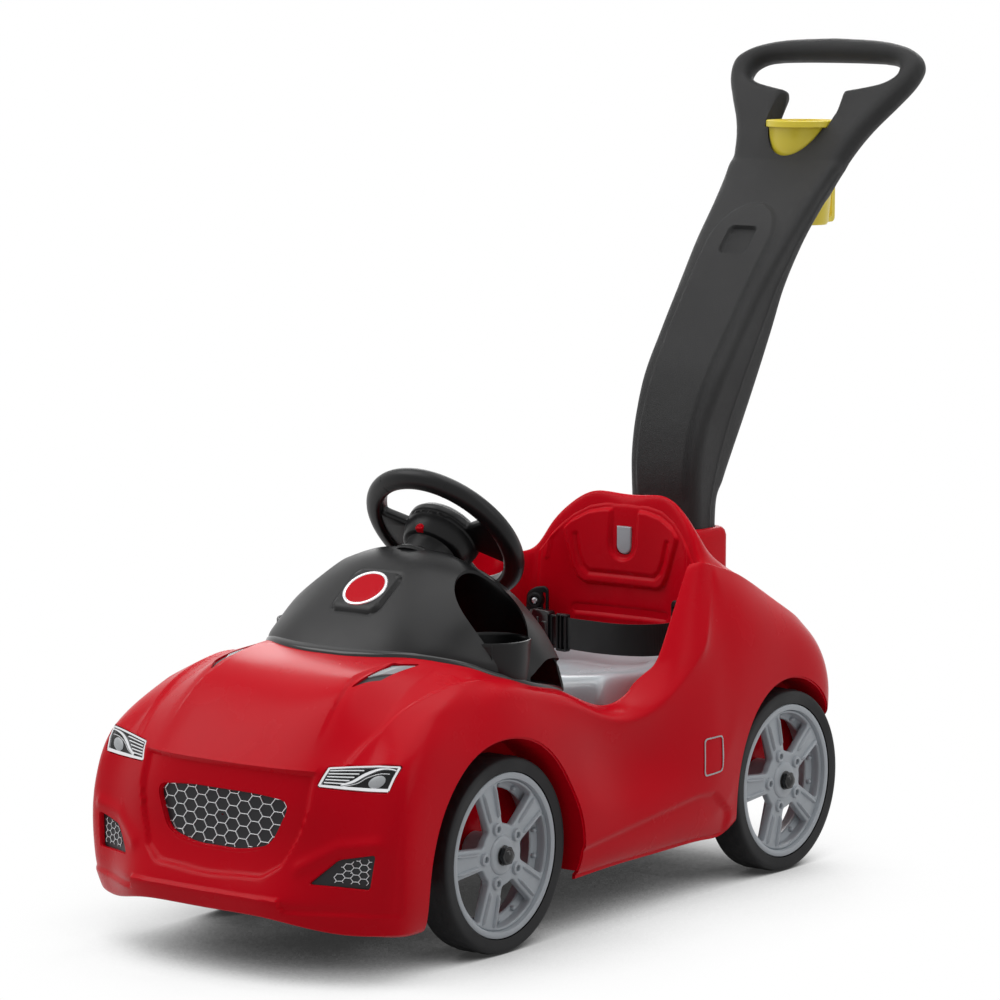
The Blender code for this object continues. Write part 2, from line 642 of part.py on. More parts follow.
# Lamps, grilles and vents follow the skin, each in an opening of its own
GRILLE = [(0.0875, -0.2410, 0.1834), (0.0691, -0.2490, 0.1397), (0.030, -0.2530, 0.1300),
    (-0.030, -0.2530, 0.1300),
          (-0.0691, -0.2490, 0.1397), (-0.0875, -0.2410, 0.1834), (0, -0.2420, 0.1890)]
FOG = [(0.1192, -0.2400, 0.1058), (0.1500, -0.2300, 0.1320), (0.1813, -0.2079, 0.1381),
    (0.1779, -0.2130, 0.1026)]
LAMP = [(0.1161, -0.2202, 0.2002), (0.1208, -0.2130, 0.2191), (0.1920, -0.1788, 0.2255),
    (0.1872, -0.1945, 0.2012)]
VENT = [(0.0850, -0.1290, 0.2870), (0.0965, -0.1270, 0.2860), (0.1130, -0.0480, 0.3010),
    (0.1010, -0.0470, 0.3030)]


def insert(label, corners, inside, outside, look):
    prism_low = prism(label + "_outline", corners)
    piece = skin(label, inside, outside, look)
    boolean(piece, prism_low, "INTERSECT")
    cut(body, prism(label + "_opening", corners, GAP + 0.0001))
    return piece


insert("grille", GRILLE, -0.009, -0.003, BLACK)
for shape, label, low, high, look in (
    (FOG, "fog_grille", -0.007, -0.003, GREY),
    (LAMP, "headlight", -0.003, 0.0005, PRINT),
    (VENT, "hood_vent", -0.003, 0.0, BLACK),
):
    for side, name in sides(label):
        insert(name, shape if side > 0 else mirrored(shape), low, high, look)

# Round badges on the flanks, left blank
BADGE = [
    (0.198, 0.360 + 0.022 * math.cos(2 * math.pi * k / 24), 0.160 + 0.022 * math.sin(2 * math.pi * k / 24))
    for k in range(24)
]
for side, name in sides("flank_badge"):
    ring = BADGE if side > 0 else mirrored(BADGE)
    badge = skin(name, 0.0007, 0.0017, PRINT)
    boolean(badge, prism(name + "_outline", ring, depth=0.03), "INTERSECT")

hood = frozen(body_sheet("hood_sheet"), "hood_surface", None, hidden=True)

# Dash cowl: a dome on the hood with an open underside and a cup pocket in each shoulder
DOME = [
    [(0, -0.060, 0.3065), (0, -0.037, 0.330), (0, 0.003, 0.361), (0, 0.045, 0.388), (0, 0.078, 0.3995),
     (0, 0.088, 0.3985)],
    [(0.035, -0.058, 0.307), (0.035, -0.035, 0.330), (0.036, 0.004, 0.360), (0.036, 0.045, 0.387),
    (0.036, 0.078, 0.398),
     (0.036, 0.088, 0.3965)],
    [(0.072, -0.047, 0.309), (0.070, -0.028, 0.329), (0.069, 0.008, 0.356), (0.068, 0.046, 0.379),
    (0.068, 0.078, 0.389),
     (0.068, 0.093, 0.386)],
    [(0.103, -0.027, 0.311), (0.101, -0.012, 0.325), (0.099, 0.015, 0.346), (0.098, 0.048, 0.367),
    (0.098, 0.078, 0.375),
     (0.098, 0.112, 0.363)],
    [(0.128, 0.001, 0.306), (0.126, 0.011, 0.317), (0.123, 0.028, 0.334), (0.121, 0.054, 0.351),
    (0.120, 0.081, 0.358),
     (0.119, 0.122, 0.341)],
    [(0.147, 0.036, 0.294), (0.146, 0.043, 0.302), (0.143, 0.053, 0.313), (0.141, 0.068, 0.328),
    (0.139, 0.088, 0.335),
     (0.136, 0.130, 0.318)],
    [(0.158, 0.078, 0.276), (0.158, 0.084, 0.280), (0.157, 0.092, 0.284), (0.156, 0.101, 0.288),
    (0.154, 0.115, 0.292),
     (0.150, 0.138, 0.289)],
]
DOME = [[(x * DASH_HALF / 0.158, y, z) for x, y, z in row] for row in DOME]
PANEL_LOW = 0.252


def hood_height(x, y):
    """The height of the body's surface straight below a point over the hood."""
    found, place_hit, _, _ = hood.ray_cast(Vector((x, y, 0.5)), Vector((0, 0, -1)))
    return place_hit.z if found else PANEL_LOW


def dome(name, inner=False, look=None):
    """The cowl's outer form, or the smaller one that hollows it and reaches out through its underside."""
    rings = []
    for row in DOME:
        base_x, base_y, _ = row[0]
        rim_x, rim_y, rim_z = row[-1]
        low = max(PANEL_LOW, hood_height(rim_x, rim_y + 0.01) - 0.002)
        ring = [(base_x, base_y - 0.001, hood_height(base_x, base_y) - 0.002)] + row
        ring += [(rim_x, rim_y + PANEL_SLOPE * (rim_z - z), z) for z in ((rim_z + low) / 2, low)]
        if inner:
            ring = [(x * 0.98, 0.04 + (y - 0.04) * 0.965, 0.25 + (z - 0.25) * 0.978) for x, y, z in ring]
            ring[0] = (ring[0][0], ring[0][1], 0.235)
            ring[-1] = (ring[-1][0], ring[-1][1], 0.235)
        rings.append(ring)
    rings = [[(-x, y, z) for x, y, z in ring] for ring in reversed(rings[1:])] + rings
    return loft(name, rings, look, hidden=inner)


hood_clearance = skin("hood_clearance_sheet", -0.006, GAP + 0.0001, hidden=True)
dash = dome("dash_cowl", look=BLACK)
hollow = dome("dash_hollow", inner=True)
wells = []
for side in (-1, 1):
    x = side * POCKET_X
    cup_floor = POCKET_RIM_Z - POCKET_DEPTH
    outer = cylinder("pocket_outer", POCKET_RADIUS + DASH_WALL, (x, POCKET_Y, cup_floor - DASH_WALL),
        (x, POCKET_Y, 0.42), sides=32,
                     hidden=True)
    lip = cylinder("pocket_lip", POCKET_RADIUS + DASH_WALL + 0.0003, (x, POCKET_Y, cup_floor - DASH_WALL),
                   (x, POCKET_Y, POCKET_RIM_Z), sides=32, hidden=True)
    wells.append(
        cylinder("pocket_inner", POCKET_RADIUS, (x, POCKET_Y, cup_floor), (x, POCKET_Y, 0.45), sides=32,
        hidden=True)
    )
    cut(hollow, outer)
    join(dash, lip)
    gap = cylinder("pocket_gap", POCKET_RADIUS + DASH_WALL + 0.0008,
        (x, POCKET_Y, cup_floor - DASH_WALL - 0.0006),
                   (x, POCKET_Y, 0.42), sides=32, hidden=True)
    cut(body, gap)
    cut(hood_clearance, gap)
hollow = frozen(hollow, "dash_inside", None, hidden=True)
hood_clearance = frozen(hood_clearance, "hood_clearance", None, hidden=True)
cut(dash, hollow, *wells, hood_clearance)

# The blank badge in the dash's recess
badge_axis = Vector((0, -0.55, 0.835)).normalized()
badge_centre = Vector((0, 0.006, 0.3605))
cut(dash, cylinder("badge_recess", 0.0264, badge_centre - badge_axis * 0.0016,
    badge_centre + badge_axis * 0.02, hidden=True))
cylinder("dash_badge", 0.026, badge_centre - badge_axis * 0.0012, badge_centre + badge_axis * 0.0006, PRINT)

# Steering: everything on the column's axis, with the wheel's own plane at zero
column = Vector((0, math.cos(STEER_TILT), math.sin(STEER_TILT)))
stance = Matrix.Translation(STEER_CENTRE) @ Matrix(
    ((-1, 0, 0, 0), (0, -column.z, column.y, 0), (0, column.y, column.z, 0), (0, 0, 0, 1))
)
ring_steps = 8
section = [
    (STEER_RADIUS - GRIP_DEPTH + GRIP_DEPTH * math.cos(2 * math.pi * k / ring_steps),
     -GRIP_THICKNESS * math.sin(2 * math.pi * k / ring_steps))
    for k in range(ring_steps)
]
steering_wheel = turned("steering_wheel", section, BLACK, steps=32, closed=True)


def sector(start, end, inner=0.0395, outer=0.0745):
    """An opening in the wheel's web between two angles."""
    span = [math.radians(start + (end - start) * k / 6) for k in range(7)]
    points = [(outer * math.cos(t), outer * math.sin(t)) for t in span]
    return points + [(inner * math.cos(t), inner * math.sin(t)) for t in reversed(span)]


web_outline = [(0.081 * math.cos(2 * math.pi * k / 30), 0.081 * math.sin(2 * math.pi * k / 30))
    for k in range(30)]
web = plate("wheel_web", [web_outline, sector(25, 155), sector(-75, -25), sector(-155, -105)], 0.009,
    hidden=True)
pad = cylinder("wheel_pad", PAD_RADIUS, (0, 0, -0.010), (0, 0, 0.009), hidden=True, bevel=0.002)
drum = cylinder("wheel_drum", DRUM_RADIUS, (0, 0, -DRUM_LENGTH - 0.008), (0, 0, -0.008), sides=16,
    hidden=True)
join(steering_wheel, web, pad, drum)
cut(
    steering_wheel,
    cylinder("horn_well", HORN_RADIUS + 0.0005, (0, 0, 0.0015), (0, 0, 0.03), hidden=True),
    cylinder("column_socket", SHAFT_RADIUS + GAP, (0, 0, -0.07), (0, 0, -0.0025), sides=16, hidden=True),
)
horn = cylinder("horn_button", HORN_RADIUS, (0, 0, 0.0055), (0, 0, 0.0125), BLACK, bevel=0.0015)
shaft = cylinder("steering_shaft", SHAFT_RADIUS, (0, 0, -0.115), (0, 0, -0.0030), STEEL, sides=16)
bezel = cylinder("column_bezel", 0.037, (0, 0, -0.058), (0, 0, -0.0505), BLACK, bevel=0.002)
cut(bezel, cylinder("bezel_bore", SHAFT_RADIUS + GAP, (0, 0, -0.08), (0, 0, 0), sides=16, hidden=True))
shaft_bore = cylinder("shaft_bore", SHAFT_RADIUS + GAP, (0, 0, -0.14), (0, 0, -0.04), sides=16, hidden=True)
bezel_seat = cylinder("bezel_seat", 0.0375, (0, 0, -0.0583), (0, 0, 0.0), hidden=True)
washer = cylinder("column_washer", 0.012, (0, 0, -0.112), (0, 0, -0.1095), STEEL, sides=16)
cut(washer, cylinder("washer_bore", SHAFT_RADIUS + GAP, (0, 0, -0.13), (0, 0, -0.09), sides=16, hidden=True))
pin = box("column_lock", (-0.005, DRUM_RADIUS - 0.006, -0.0300), (0.005, DRUM_RADIUS + 0.004, -0.0200), RED,
    bevel=0.001)
pin_seat = box("lock_seat", (-0.0054, DRUM_RADIUS - 0.0064, -0.0304), (0.0054, DRUM_RADIUS + 0.02, -0.0196),
    hidden=True)
cut(steering_wheel, pin_seat)
for piece in (steering_wheel, horn, shaft, bezel, washer, pin):
    piece.matrix_basis = stance
for cutter in list(cutters.objects):
    if cutter.name.startswith(("wheel_web", "wheel_pad", "wheel_drum", "horn_well", "column_socket", "bezel_",
            "shaft_bore",
                               "washer_bore", "lock_seat")):
        cutter.matrix_basis = stance
cut(dash, shaft_bore, bezel_seat)

# Seat pan, resting on the body's seat base
SEAT_PATH = [(0.450, 0.252), (0.442, 0.247), (0.425, 0.244), (0.385, 0.2405), (0.335, 0.2405), (0.298, 0.244),
             (0.274, 0.243), (0.260, 0.230), (0.254, 0.200), (0.248, 0.160), (0.245, 0.125)]


def seat_rows():
    rows = []
    for x, back_pull, rise in ((0, 0, 0), (0.045, 0.002, 0), (0.085, 0.008, 0.004), (0.108, 0.018, 0.006),
            (0.118, 0.026, 0.002)):
        row = []
        for number, (y, z) in enumerate(SEAT_PATH):
            pull = back_pull * max(0, 1 - number / 3)
            narrow = 1 - 0.16 * max(0, number - 7) / 3 - 0.06 * max(0, 2 - number)
            row.append((x * narrow, y - pull, z + (rise if 1 < number < 8 else 0)))
        rows.append(row)
    edge = [(x + 0.003, y + (0.004 if number > 6 else 0), max(0.207, z - 0.035) if number < 8 else z - 0.004)
            for number, (x, y, z) in enumerate(rows[-1])]
    return rows + [edge]


work = bmesh.new()
grid = [[work.verts.new(point) for point in row] for row in seat_rows()]
for near, far in zip(grid, grid[1:]):
    for i in range(len(near) - 1):
        work.faces.new((near[i], near[i + 1], far[i + 1], far[i]))
seat = finish("seat_pan", work, GREY)
seat_mirror = seat.modifiers.new("mirror", "MIRROR")
seat_mirror.use_clip = True
seat_mirror.merge_threshold = 0.0001
seat_wall = seat.modifiers.new("wall", "SOLIDIFY")
seat_wall.thickness = 0.004
seat_wall.offset = 1
cut(seat, clearance)

# Lap belt: an anchor plate and screw at each lower corner of the seat back, two straps and a buckle
def ribbon(name, path, height):
    """A strap standing on edge along a path of (x, y) points, with its lower edge at the height."""
    near, far = [], []
    for i, (x, y) in enumerate(path):
        before, after = path[max(i - 1, 0)], path[min(i + 1, len(path) - 1)]
        along = Vector((after[0] - before[0], after[1] - before[1])).normalized() * STRAP_THICKNESS / 2
        near.append((x - along.y, y + along.x))
        far.append((x + along.y, y - along.x))
    made = plate(name, [near + far[::-1]], STRAP_WIDTH, WEBBING)
    return place(made, Matrix.Translation((0, 0, height + STRAP_WIDTH / 2)))


STRAP_LEFT = [(0.0930, 0.4397), (0.0900, 0.4200), (0.0780, 0.4020), (0.0560, 0.3910), (0.0280, 0.3880),
    (0.0000, 0.3900),
              (-0.0250, 0.3940), (-0.0400, 0.3965)]
STRAP_RIGHT = [(-0.0930, 0.4397), (-0.0930, 0.4250), (-0.0880, 0.4130), (-0.0810, 0.4070), (-0.0745, 0.4038)]
ribbon("belt_strap_left", STRAP_LEFT, STRAP_Z)
ribbon("belt_strap_right", STRAP_RIGHT, STRAP_Z)
belt_turn = Matrix.Translation((-0.0565, 0.4000, STRAP_Z + STRAP_WIDTH / 2)) @ Matrix.Rotation(
    math.radians(-10), 4, "Z")
buckle = box("buckle_body", (-0.0180, -0.0060, -0.0230), (0.0100, 0.0060, 0.0230), BLACK, bevel=0.002)
cut(buckle, box("buckle_slot", (-0.0100, -0.0034, -0.0160), (0.0200, 0.0034, 0.0160), hidden=True),
    box("buckle_strap", (-0.0300, -0.0016, -0.0185), (-0.0120, 0.0016, 0.0185), hidden=True))
tongue = box("buckle_tongue", (-0.0060, -0.0030, -0.0155), (0.0165, 0.0030, 0.0155), BLACK, bevel=0.001)
cut(tongue, box("tongue_strap", (0.0140, -0.0016, -0.0200), (0.0300, 0.0016, 0.0200), hidden=True))
adjuster = box("belt_adjuster", (-0.0070, -0.0050, -0.0215), (0.0070, 0.0050, 0.0215), BLACK, bevel=0.0015)
cut(adjuster, box("adjuster_slot", (-0.0300, -0.0022, -0.0184), (0.0300, 0.0022, 0.0184), hidden=True))
for piece in (buckle, tongue):
    piece.matrix_basis = belt_turn
adjuster.matrix_basis = Matrix.Translation((-0.0285, 0.3946, STRAP_Z + STRAP_WIDTH / 2)) @ Matrix.Rotation(
    math.radians(-9.4), 4, "Z")
adjuster_slot = bpy.data.objects["adjuster_slot"]
adjuster_slot.matrix_basis = adjuster.matrix_basis
for name in ("buckle_slot", "buckle_strap", "tongue_strap"):
    bpy.data.objects[name].matrix_basis = belt_turn
for side, label in sides("x"):
    tail = label[2:]
    anchor = box(
        "anchor_plate_" + tail, (side * 0.095 - 0.0135, 0.4400, STRAP_Z - 0.001),
        (side * 0.095 + 0.0135, 0.4605, ANCHOR_Z + 0.016),
        BLACK, bevel=0.0015,
    )
    hook = box("anchor_slot", (side * 0.093 - 0.0018, 0.4300, STRAP_Z - 0.0004),
               (side * 0.093 + 0.0018, 0.4400, STRAP_Z + STRAP_WIDTH + 0.0004), hidden=True)
    screw_x, screw_z = side * 0.095, ANCHOR_Z + 0.006
    cut(anchor, hook, clearance, cylinder("anchor_bore", 0.0065, (screw_x, 0.43, screw_z),
        (screw_x, 0.4425, screw_z), sides=20, hidden=True))
    cylinder("anchor_screw_" + tail, 0.0060, (screw_x, 0.4385, screw_z), (screw_x, 0.4420, screw_z), STEEL,
        sides=20, bevel=0.001)

# Push handle: a blade that curves back from the socket and opens into a plate with the cup's slot and the grip
BLADE = [(0.2060, 0.0477, 0.547, 0.598), (0.400, 0.0477, 0.547, 0.598), (0.430, 0.0480, 0.546, 0.612),
    (0.460, 0.0490, 0.547, 0.628),
         (0.500, 0.0513, 0.557, 0.649), (0.550, 0.0560, 0.582, 0.671), (0.600, 0.0580, 0.618, 0.696),
         (0.650, 0.0605, 0.657, 0.719), (0.700, 0.0654, 0.700, 0.750), (0.740, 0.0690, 0.741, 0.785),
         (0.780, 0.0760, 0.777, 0.820)]
blade = loft("push_handle", [rounded(half, front, back, z, 0.0135) for z, half, front, back in BLADE],
    GRAINED)
PLATE_SIDE = [(-0.070, 0.0680), (-0.050, 0.0715), (0.000, 0.0780), (0.030, 0.0865), (0.057, 0.0980),
    (0.090, 0.1170),
              (0.115, 0.1300), (0.135, LOOP_HALF), (0.150, 0.1325), (0.163, 0.1180), (0.172, 0.0950),
              (0.178, 0.0600)]
plate_outline = [(half, s) for s, half in PLATE_SIDE] + [(0, LOOP_TOP)] + [(-half, s) for s,
    half in reversed(PLATE_SIDE)]
HOLE_SIDE = [(0.0410, 0.1030), (0.0650, 0.1080), (0.0900, 0.1150), (0.1030, 0.1240), (0.1050, 0.1320),
    (0.1010, 0.1410),
             (0.0850, 0.1480), (0.0450, 0.1505)]
hole_outline = HOLE_SIDE + [(0, 0.1510)] + [(-x, s) for x, s in reversed(HOLE_SIDE)]
head = plate("handle_head", [plate_outline, hole_outline], GRIP_TUBE, bevel=0.011, hidden=True)
place(head, Matrix.Translation(LEAN_FOOT) @ Matrix(
    ((1, 0, 0, 0), (0, math.sin(LEAN), -math.cos(LEAN), 0), (0, math.cos(LEAN), math.sin(LEAN), 0),
    (0, 0, 0, 1))
))
join(blade, head)
throat = box("cup_throat", (-0.041, 0, -0.04), (0.041, 0.068, 0.04), hidden=True)
place(throat, Matrix.Translation(LEAN_FOOT) @ Matrix(
    ((1, 0, 0, 0), (0, math.sin(LEAN), -math.cos(LEAN), 0), (0, math.cos(LEAN), math.sin(LEAN), 0),
    (0, 0, 0, 1))
) @ Matrix.Translation((0, 0.045, 0)))
cut(
    blade,
    cylinder("cup_slot", CUP_RIM_RADIUS - 0.0025, (0, CUP_Y, 0.690), (0, CUP_Y, 0.93), sides=40, hidden=True),
    cylinder("cup_ledge", CUP_RIM_RADIUS + 0.0025, (0, CUP_Y, CUP_RIM_Z - 0.0085), (0, CUP_Y, 0.95), sides=40,
    hidden=True),
    throat,
    box("latch_notch", (-0.0104, 0.5390, LATCH_Z - 0.0404), (0.0104, 0.5544, LATCH_Z - 0.0196), hidden=True),
)

# Latch: a button in the seat back whose stem enters the handle's notch
latch_low = LATCH_Z - 0.030
latch = box("latch_button", (-LATCH_HALF, LATCH_FACE_Y, LATCH_Z - 0.0160),
    (LATCH_HALF, LATCH_FACE_Y + 0.020, LATCH_Z + 0.0160),
            GREY, bevel=0.002)
latch_arm = box("latch_arm", (-0.0060, LATCH_FACE_Y + 0.012, latch_low - 0.0060),
    (0.0060, LATCH_FACE_Y + 0.020, LATCH_Z), hidden=True)
latch_stem = box("latch_stem", (-0.0055, LATCH_FACE_Y + 0.015, latch_low - 0.0055),
    (0.0055, 0.5458, latch_low + 0.0055), hidden=True)
join(latch, latch_arm, latch_stem)
cut(
    body,
    box("latch_opening", (-LATCH_HALF - 0.0005, 0.44, LATCH_Z - 0.0165),
    (LATCH_HALF + 0.0005, 0.506, LATCH_Z + 0.0165), hidden=True),
    box("stem_opening", (-0.0065, 0.495, latch_low - 0.0065), (0.0065, 0.5475, latch_low + 0.0065),
    hidden=True),
)

# Cup, hanging by its rim in the handle's slot
inner_foot = 0.0310 - CUP_WALL
cup_profile = [
    (0, CUP_RIM_Z - CUP_HEIGHT + CUP_WALL), (inner_foot - 0.004, CUP_RIM_Z - CUP_HEIGHT + CUP_WALL),
    (inner_foot, CUP_RIM_Z - CUP_HEIGHT + CUP_WALL + 0.004), (0.0395, CUP_RIM_Z - 0.004), (0.0400, CUP_RIM_Z),
    (CUP_RIM_RADIUS, CUP_RIM_Z), (CUP_RIM_RADIUS, CUP_RIM_Z - 0.0080), (0.0415, CUP_RIM_Z - 0.0080),
    (0.0310, CUP_RIM_Z - CUP_HEIGHT + 0.003), (0.0290, CUP_RIM_Z - CUP_HEIGHT), (0, CUP_RIM_Z - CUP_HEIGHT),
]
cup = frozen(turned("cup", cup_profile, steps=32), "cup", YELLOW)
place(cup, Matrix.Translation((0, CUP_Y, 0)))
loop_low = CUP_RIM_Z - CUP_HEIGHT + CUP_WALL
cup_loop = box("cup_loop", (-0.0035, CUP_Y + 0.026, loop_low), (0.0035, CUP_Y + 0.065, loop_low + 0.050),
    hidden=True, bevel=0.0015)
loop_hole = box("loop_hole", (-0.01, CUP_Y + 0.020, loop_low + 0.0035),
    (0.01, CUP_Y + 0.0615, loop_low + 0.0465), hidden=True, bevel=0.0015)
cup_inside = turned("cup_inside", [(0, 0.90), (0.0395, 0.90), (0.0395, CUP_RIM_Z - 0.004),
    (inner_foot + 0.0005, loop_low + 0.006), (0, loop_low + 0.006)],
                    hidden=True, steps=24)
cup_inside = place(frozen(cup_inside, "cup_inside", None, hidden=True), Matrix.Translation((0, CUP_Y, 0)))
cut(cup_loop, loop_hole, cup_inside)
join(cup, cup_loop)
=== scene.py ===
"""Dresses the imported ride-on push car: fine body surfaces, lamps, wheels and trim around the CAD frame, then the
floor, the light and the camera. Metres. Every piece is drawn in the CAD source's own frame, whose Y starts at the
front axle, and its object is moved by FRONT_AXLE_Y."""

import math

import bmesh
import bpy
import numpy as np
from mathutils import Matrix, Vector
from mathutils.bvhtree import BVHTree
from mathutils.geometry import delaunay_2d_cdt


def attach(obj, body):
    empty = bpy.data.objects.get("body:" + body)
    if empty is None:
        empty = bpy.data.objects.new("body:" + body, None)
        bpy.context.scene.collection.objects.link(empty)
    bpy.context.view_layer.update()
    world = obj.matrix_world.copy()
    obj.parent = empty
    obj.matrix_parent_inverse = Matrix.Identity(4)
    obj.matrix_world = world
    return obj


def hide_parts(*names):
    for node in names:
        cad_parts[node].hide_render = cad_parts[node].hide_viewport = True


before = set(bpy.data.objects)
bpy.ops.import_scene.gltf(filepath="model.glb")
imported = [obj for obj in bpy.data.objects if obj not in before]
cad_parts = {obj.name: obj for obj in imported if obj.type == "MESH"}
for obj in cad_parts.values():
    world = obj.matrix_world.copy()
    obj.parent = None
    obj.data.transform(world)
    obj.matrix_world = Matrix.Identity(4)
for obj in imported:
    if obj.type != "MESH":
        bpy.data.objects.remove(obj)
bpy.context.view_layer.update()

FRONT_AXLE_Y = -0.3282
WHEELBASE = 0.531
TYRE_RADIUS = 0.104
WHEEL_CENTRE_X = 0.1675
FRONT_ARCH = (-0.018, 0.093, 0.139)
REAR_ARCH = (0.529, 0.113, 0.111)
ARCH_INNER_X = 0.142
SKIN = 0.004
TAU = 2 * math.pi
scene = bpy.context.scene


# Materials
def node(look, kind, **settings):
    """A shader node with its inputs and settings by name. An underscore stands for a space in an input's name."""
    made = look.node_tree.nodes.new(kind)
    for label, value in settings.items():
        socket = label.replace("_", " ")
        if socket in made.inputs:
            made.inputs[socket].default_value = value
        else:
            setattr(made, label, value)
    return made


def wire(look, source, output, target, socket):
    look.node_tree.links.new(source.outputs[output], target.inputs[socket])


def material(name, colour, roughness, **more):
    made = bpy.data.materials.new(name)
    made.use_nodes = True
    inputs = made.node_tree.nodes["Principled BSDF"].inputs
    for label, value in {"Base Color": (*colour, 1), "Roughness": roughness, **more}.items():
        inputs[label.replace("_", " ")].default_value = value
    return made


def grained(name, colour, roughness, scale, strength, distance, vary, tones=None, kind="ShaderNodeTexNoise", **more):
    """A material with a fine relief and a broad change of its roughness and colour."""
    look = material(name, colour, roughness, **more)
    shader = look.node_tree.nodes["Principled BSDF"]
    place = node(look, "ShaderNodeTexCoord")
    texture = node(look, kind, Scale=scale, Detail=2.0)
    wire(look, place, "Object", texture, "Vector")
    bump = node(look, "ShaderNodeBump", Strength=strength, Distance=distance)
    wire(look, texture, "Fac" if "Fac" in texture.outputs else "Distance", bump, "Height")
    wire(look, bump, "Normal", shader, "Normal")
    broad = node(look, "ShaderNodeTexNoise", Scale=14.0, Detail=5.0)
    wire(look, place, "Object", broad, "Vector")
    spread = node(look, "ShaderNodeMapRange", From_Min=0.3, From_Max=0.7, To_Min=vary[0], To_Max=vary[1])
    wire(look, broad, "Fac", spread, "Value")
    wire(look, spread, "Result", shader, "Roughness")
    if tones:
        mix = node(look, "ShaderNodeMix", data_type="RGBA", A=(*tones[0], 1), B=(*tones[1], 1))
        wire(look, broad, "Fac", mix, "Factor")
        wire(look, mix, "Result", shader, "Base Color")
    return look


RED = grained("red_plastic", (0.62, 0.002, 0.012), 0.3, 900, 0.10, 0.0004, (0.20, 0.30),
              ((0.60, 0.0012, 0.010), (0.67, 0.002, 0.013)), Specular_IOR_Level=0.06)
SATIN = grained("satin_black", (0.008, 0.008, 0.009), 0.35, 1600, 0.12, 0.0003, (0.30, 0.42),
                ((0.006, 0.006, 0.0065), (0.009, 0.009, 0.0095)), Specular_IOR_Level=0.22)
GRAINED = grained("grained_black", (0.01, 0.01, 0.011), 0.5, 1300, 0.7, 0.0006, (0.42, 0.56),
                  ((0.008, 0.008, 0.0085), (0.013, 0.013, 0.0135)), "ShaderNodeTexVoronoi", Specular_IOR_Level=0.3)
GREY = grained("grey_plastic", (0.42, 0.46, 0.50), 0.36, 1100, 0.08, 0.0003, (0.30, 0.42),
               ((0.40, 0.435, 0.47), (0.45, 0.485, 0.52)))
RUBBER = grained("tyre_plastic", (0.010, 0.010, 0.011), 0.6, 1500, 0.3, 0.0004, (0.5, 0.68),
                 ((0.008, 0.008, 0.009), (0.013, 0.013, 0.014)), Specular_IOR_Level=0.25)
STEEL = grained("zinc", (0.62, 0.62, 0.64), 0.28, 700, 0.1, 0.0002, (0.22, 0.38), Metallic=1.0)
YELLOW = grained("yellow_plastic", (0.95, 0.78, 0.06), 0.3, 700, 0.05, 0.0003, (0.26, 0.36),
                 ((0.93, 0.75, 0.05), (0.97, 0.80, 0.07)))
SEAT = grained("seat_plastic", (0.52, 0.56, 0.60), 0.24, 1100, 0.06, 0.0003, (0.18, 0.28),
               ((0.50, 0.545, 0.58), (0.55, 0.595, 0.63)))
SILVER = material("silver_print", (0.82, 0.83, 0.85), 0.2, Metallic=0.7)
LENS = grained("lamp_black", (0.010, 0.010, 0.011), 0.2, 600, 0.05, 0.0002, (0.10, 0.16), Specular_IOR_Level=0.2)
DARK = grained("lamp_grey", (0.022, 0.022, 0.025), 0.4, 900, 0.2, 0.0003, (0.34, 0.46), Specular_IOR_Level=0.25)
GLOSS = grained("gloss_black", (0.006, 0.006, 0.007), 0.16, 900, 0.05, 0.0002, (0.13, 0.22), Specular_IOR_Level=0.4)
BLANK = grained("blank_plate", (0.50, 0.52, 0.54), 0.3, 900, 0.05, 0.0002, (0.26, 0.34))


# Mesh helpers
def mm(value):
    """A number, a point or a list of points given in millimetres, in metres."""
    return value / 1000 if isinstance(value, (int, float)) else type(value)(mm(part) for part in value)


def mesh_of(name, points, faces):
    made = bpy.data.meshes.new(name)
    made.from_pydata([tuple(map(float, p)) for p in points], [], [tuple(map(int, f)) for f in faces])
    return made


def bmesh_of(mesh):
    work = bmesh.new()
    work.from_mesh(mesh)
    return work


def written(work, mesh):
    work.to_mesh(mesh)
    work.free()
    return mesh


def tree_of(mesh):
    work = bmesh_of(mesh)
    made = BVHTree.FromBMesh(work)
    work.free()
    return made


def points_of(mesh):
    found = np.empty(len(mesh.vertices) * 3)
    mesh.vertices.foreach_get("co", found)
    return found.reshape(-1, 3)


def normals_of(mesh):
    found = np.empty(len(mesh.vertices) * 3)
    mesh.vertex_normals.foreach_get("vector", found)
    return found.reshape(-1, 3)


def placed(mesh, places):
    """The mesh with its points at other places."""
    mesh.vertices.foreach_set("co", places.ravel())
    mesh.update()
    return mesh


def tidy(mesh, merge=0.00001):
    work = bmesh_of(mesh)
    bmesh.ops.remove_doubles(work, verts=work.verts, dist=merge)
    bmesh.ops.recalc_face_normals(work, faces=work.faces)
    return written(work, mesh)


def temporary(mesh):
    made = bpy.data.objects.new("temporary", mesh)
    scene.collection.objects.link(made)
    return made


def applied(made):
    """The mesh of an object as its modifiers leave it. The object goes."""
    bpy.context.view_layer.update()
    mesh = bpy.data.meshes.new_from_object(made.evaluated_get(bpy.context.evaluated_depsgraph_get()))
    bpy.data.objects.remove(made, do_unlink=True)
    return mesh


def modified(mesh, *steps):
    """The mesh after modifiers, each a kind and its settings."""
    made = temporary(mesh)
    for kind, settings in steps:
        step = made.modifiers.new(kind.lower(), kind)
        for label, value in settings.items():
            setattr(step, label, value)
    return applied(made)


def subsurf(levels):
    return ("SUBSURF", {"levels": levels, "render_levels": levels})


def carved(mesh, other, solver="EXACT"):
    """A mesh cut by another, or by several joined in one."""
    cutter = temporary(other)
    made = modified(mesh, ("BOOLEAN", {"operation": "DIFFERENCE", "object": cutter, "solver": solver}))
    bpy.data.objects.remove(cutter, do_unlink=True)
    return made


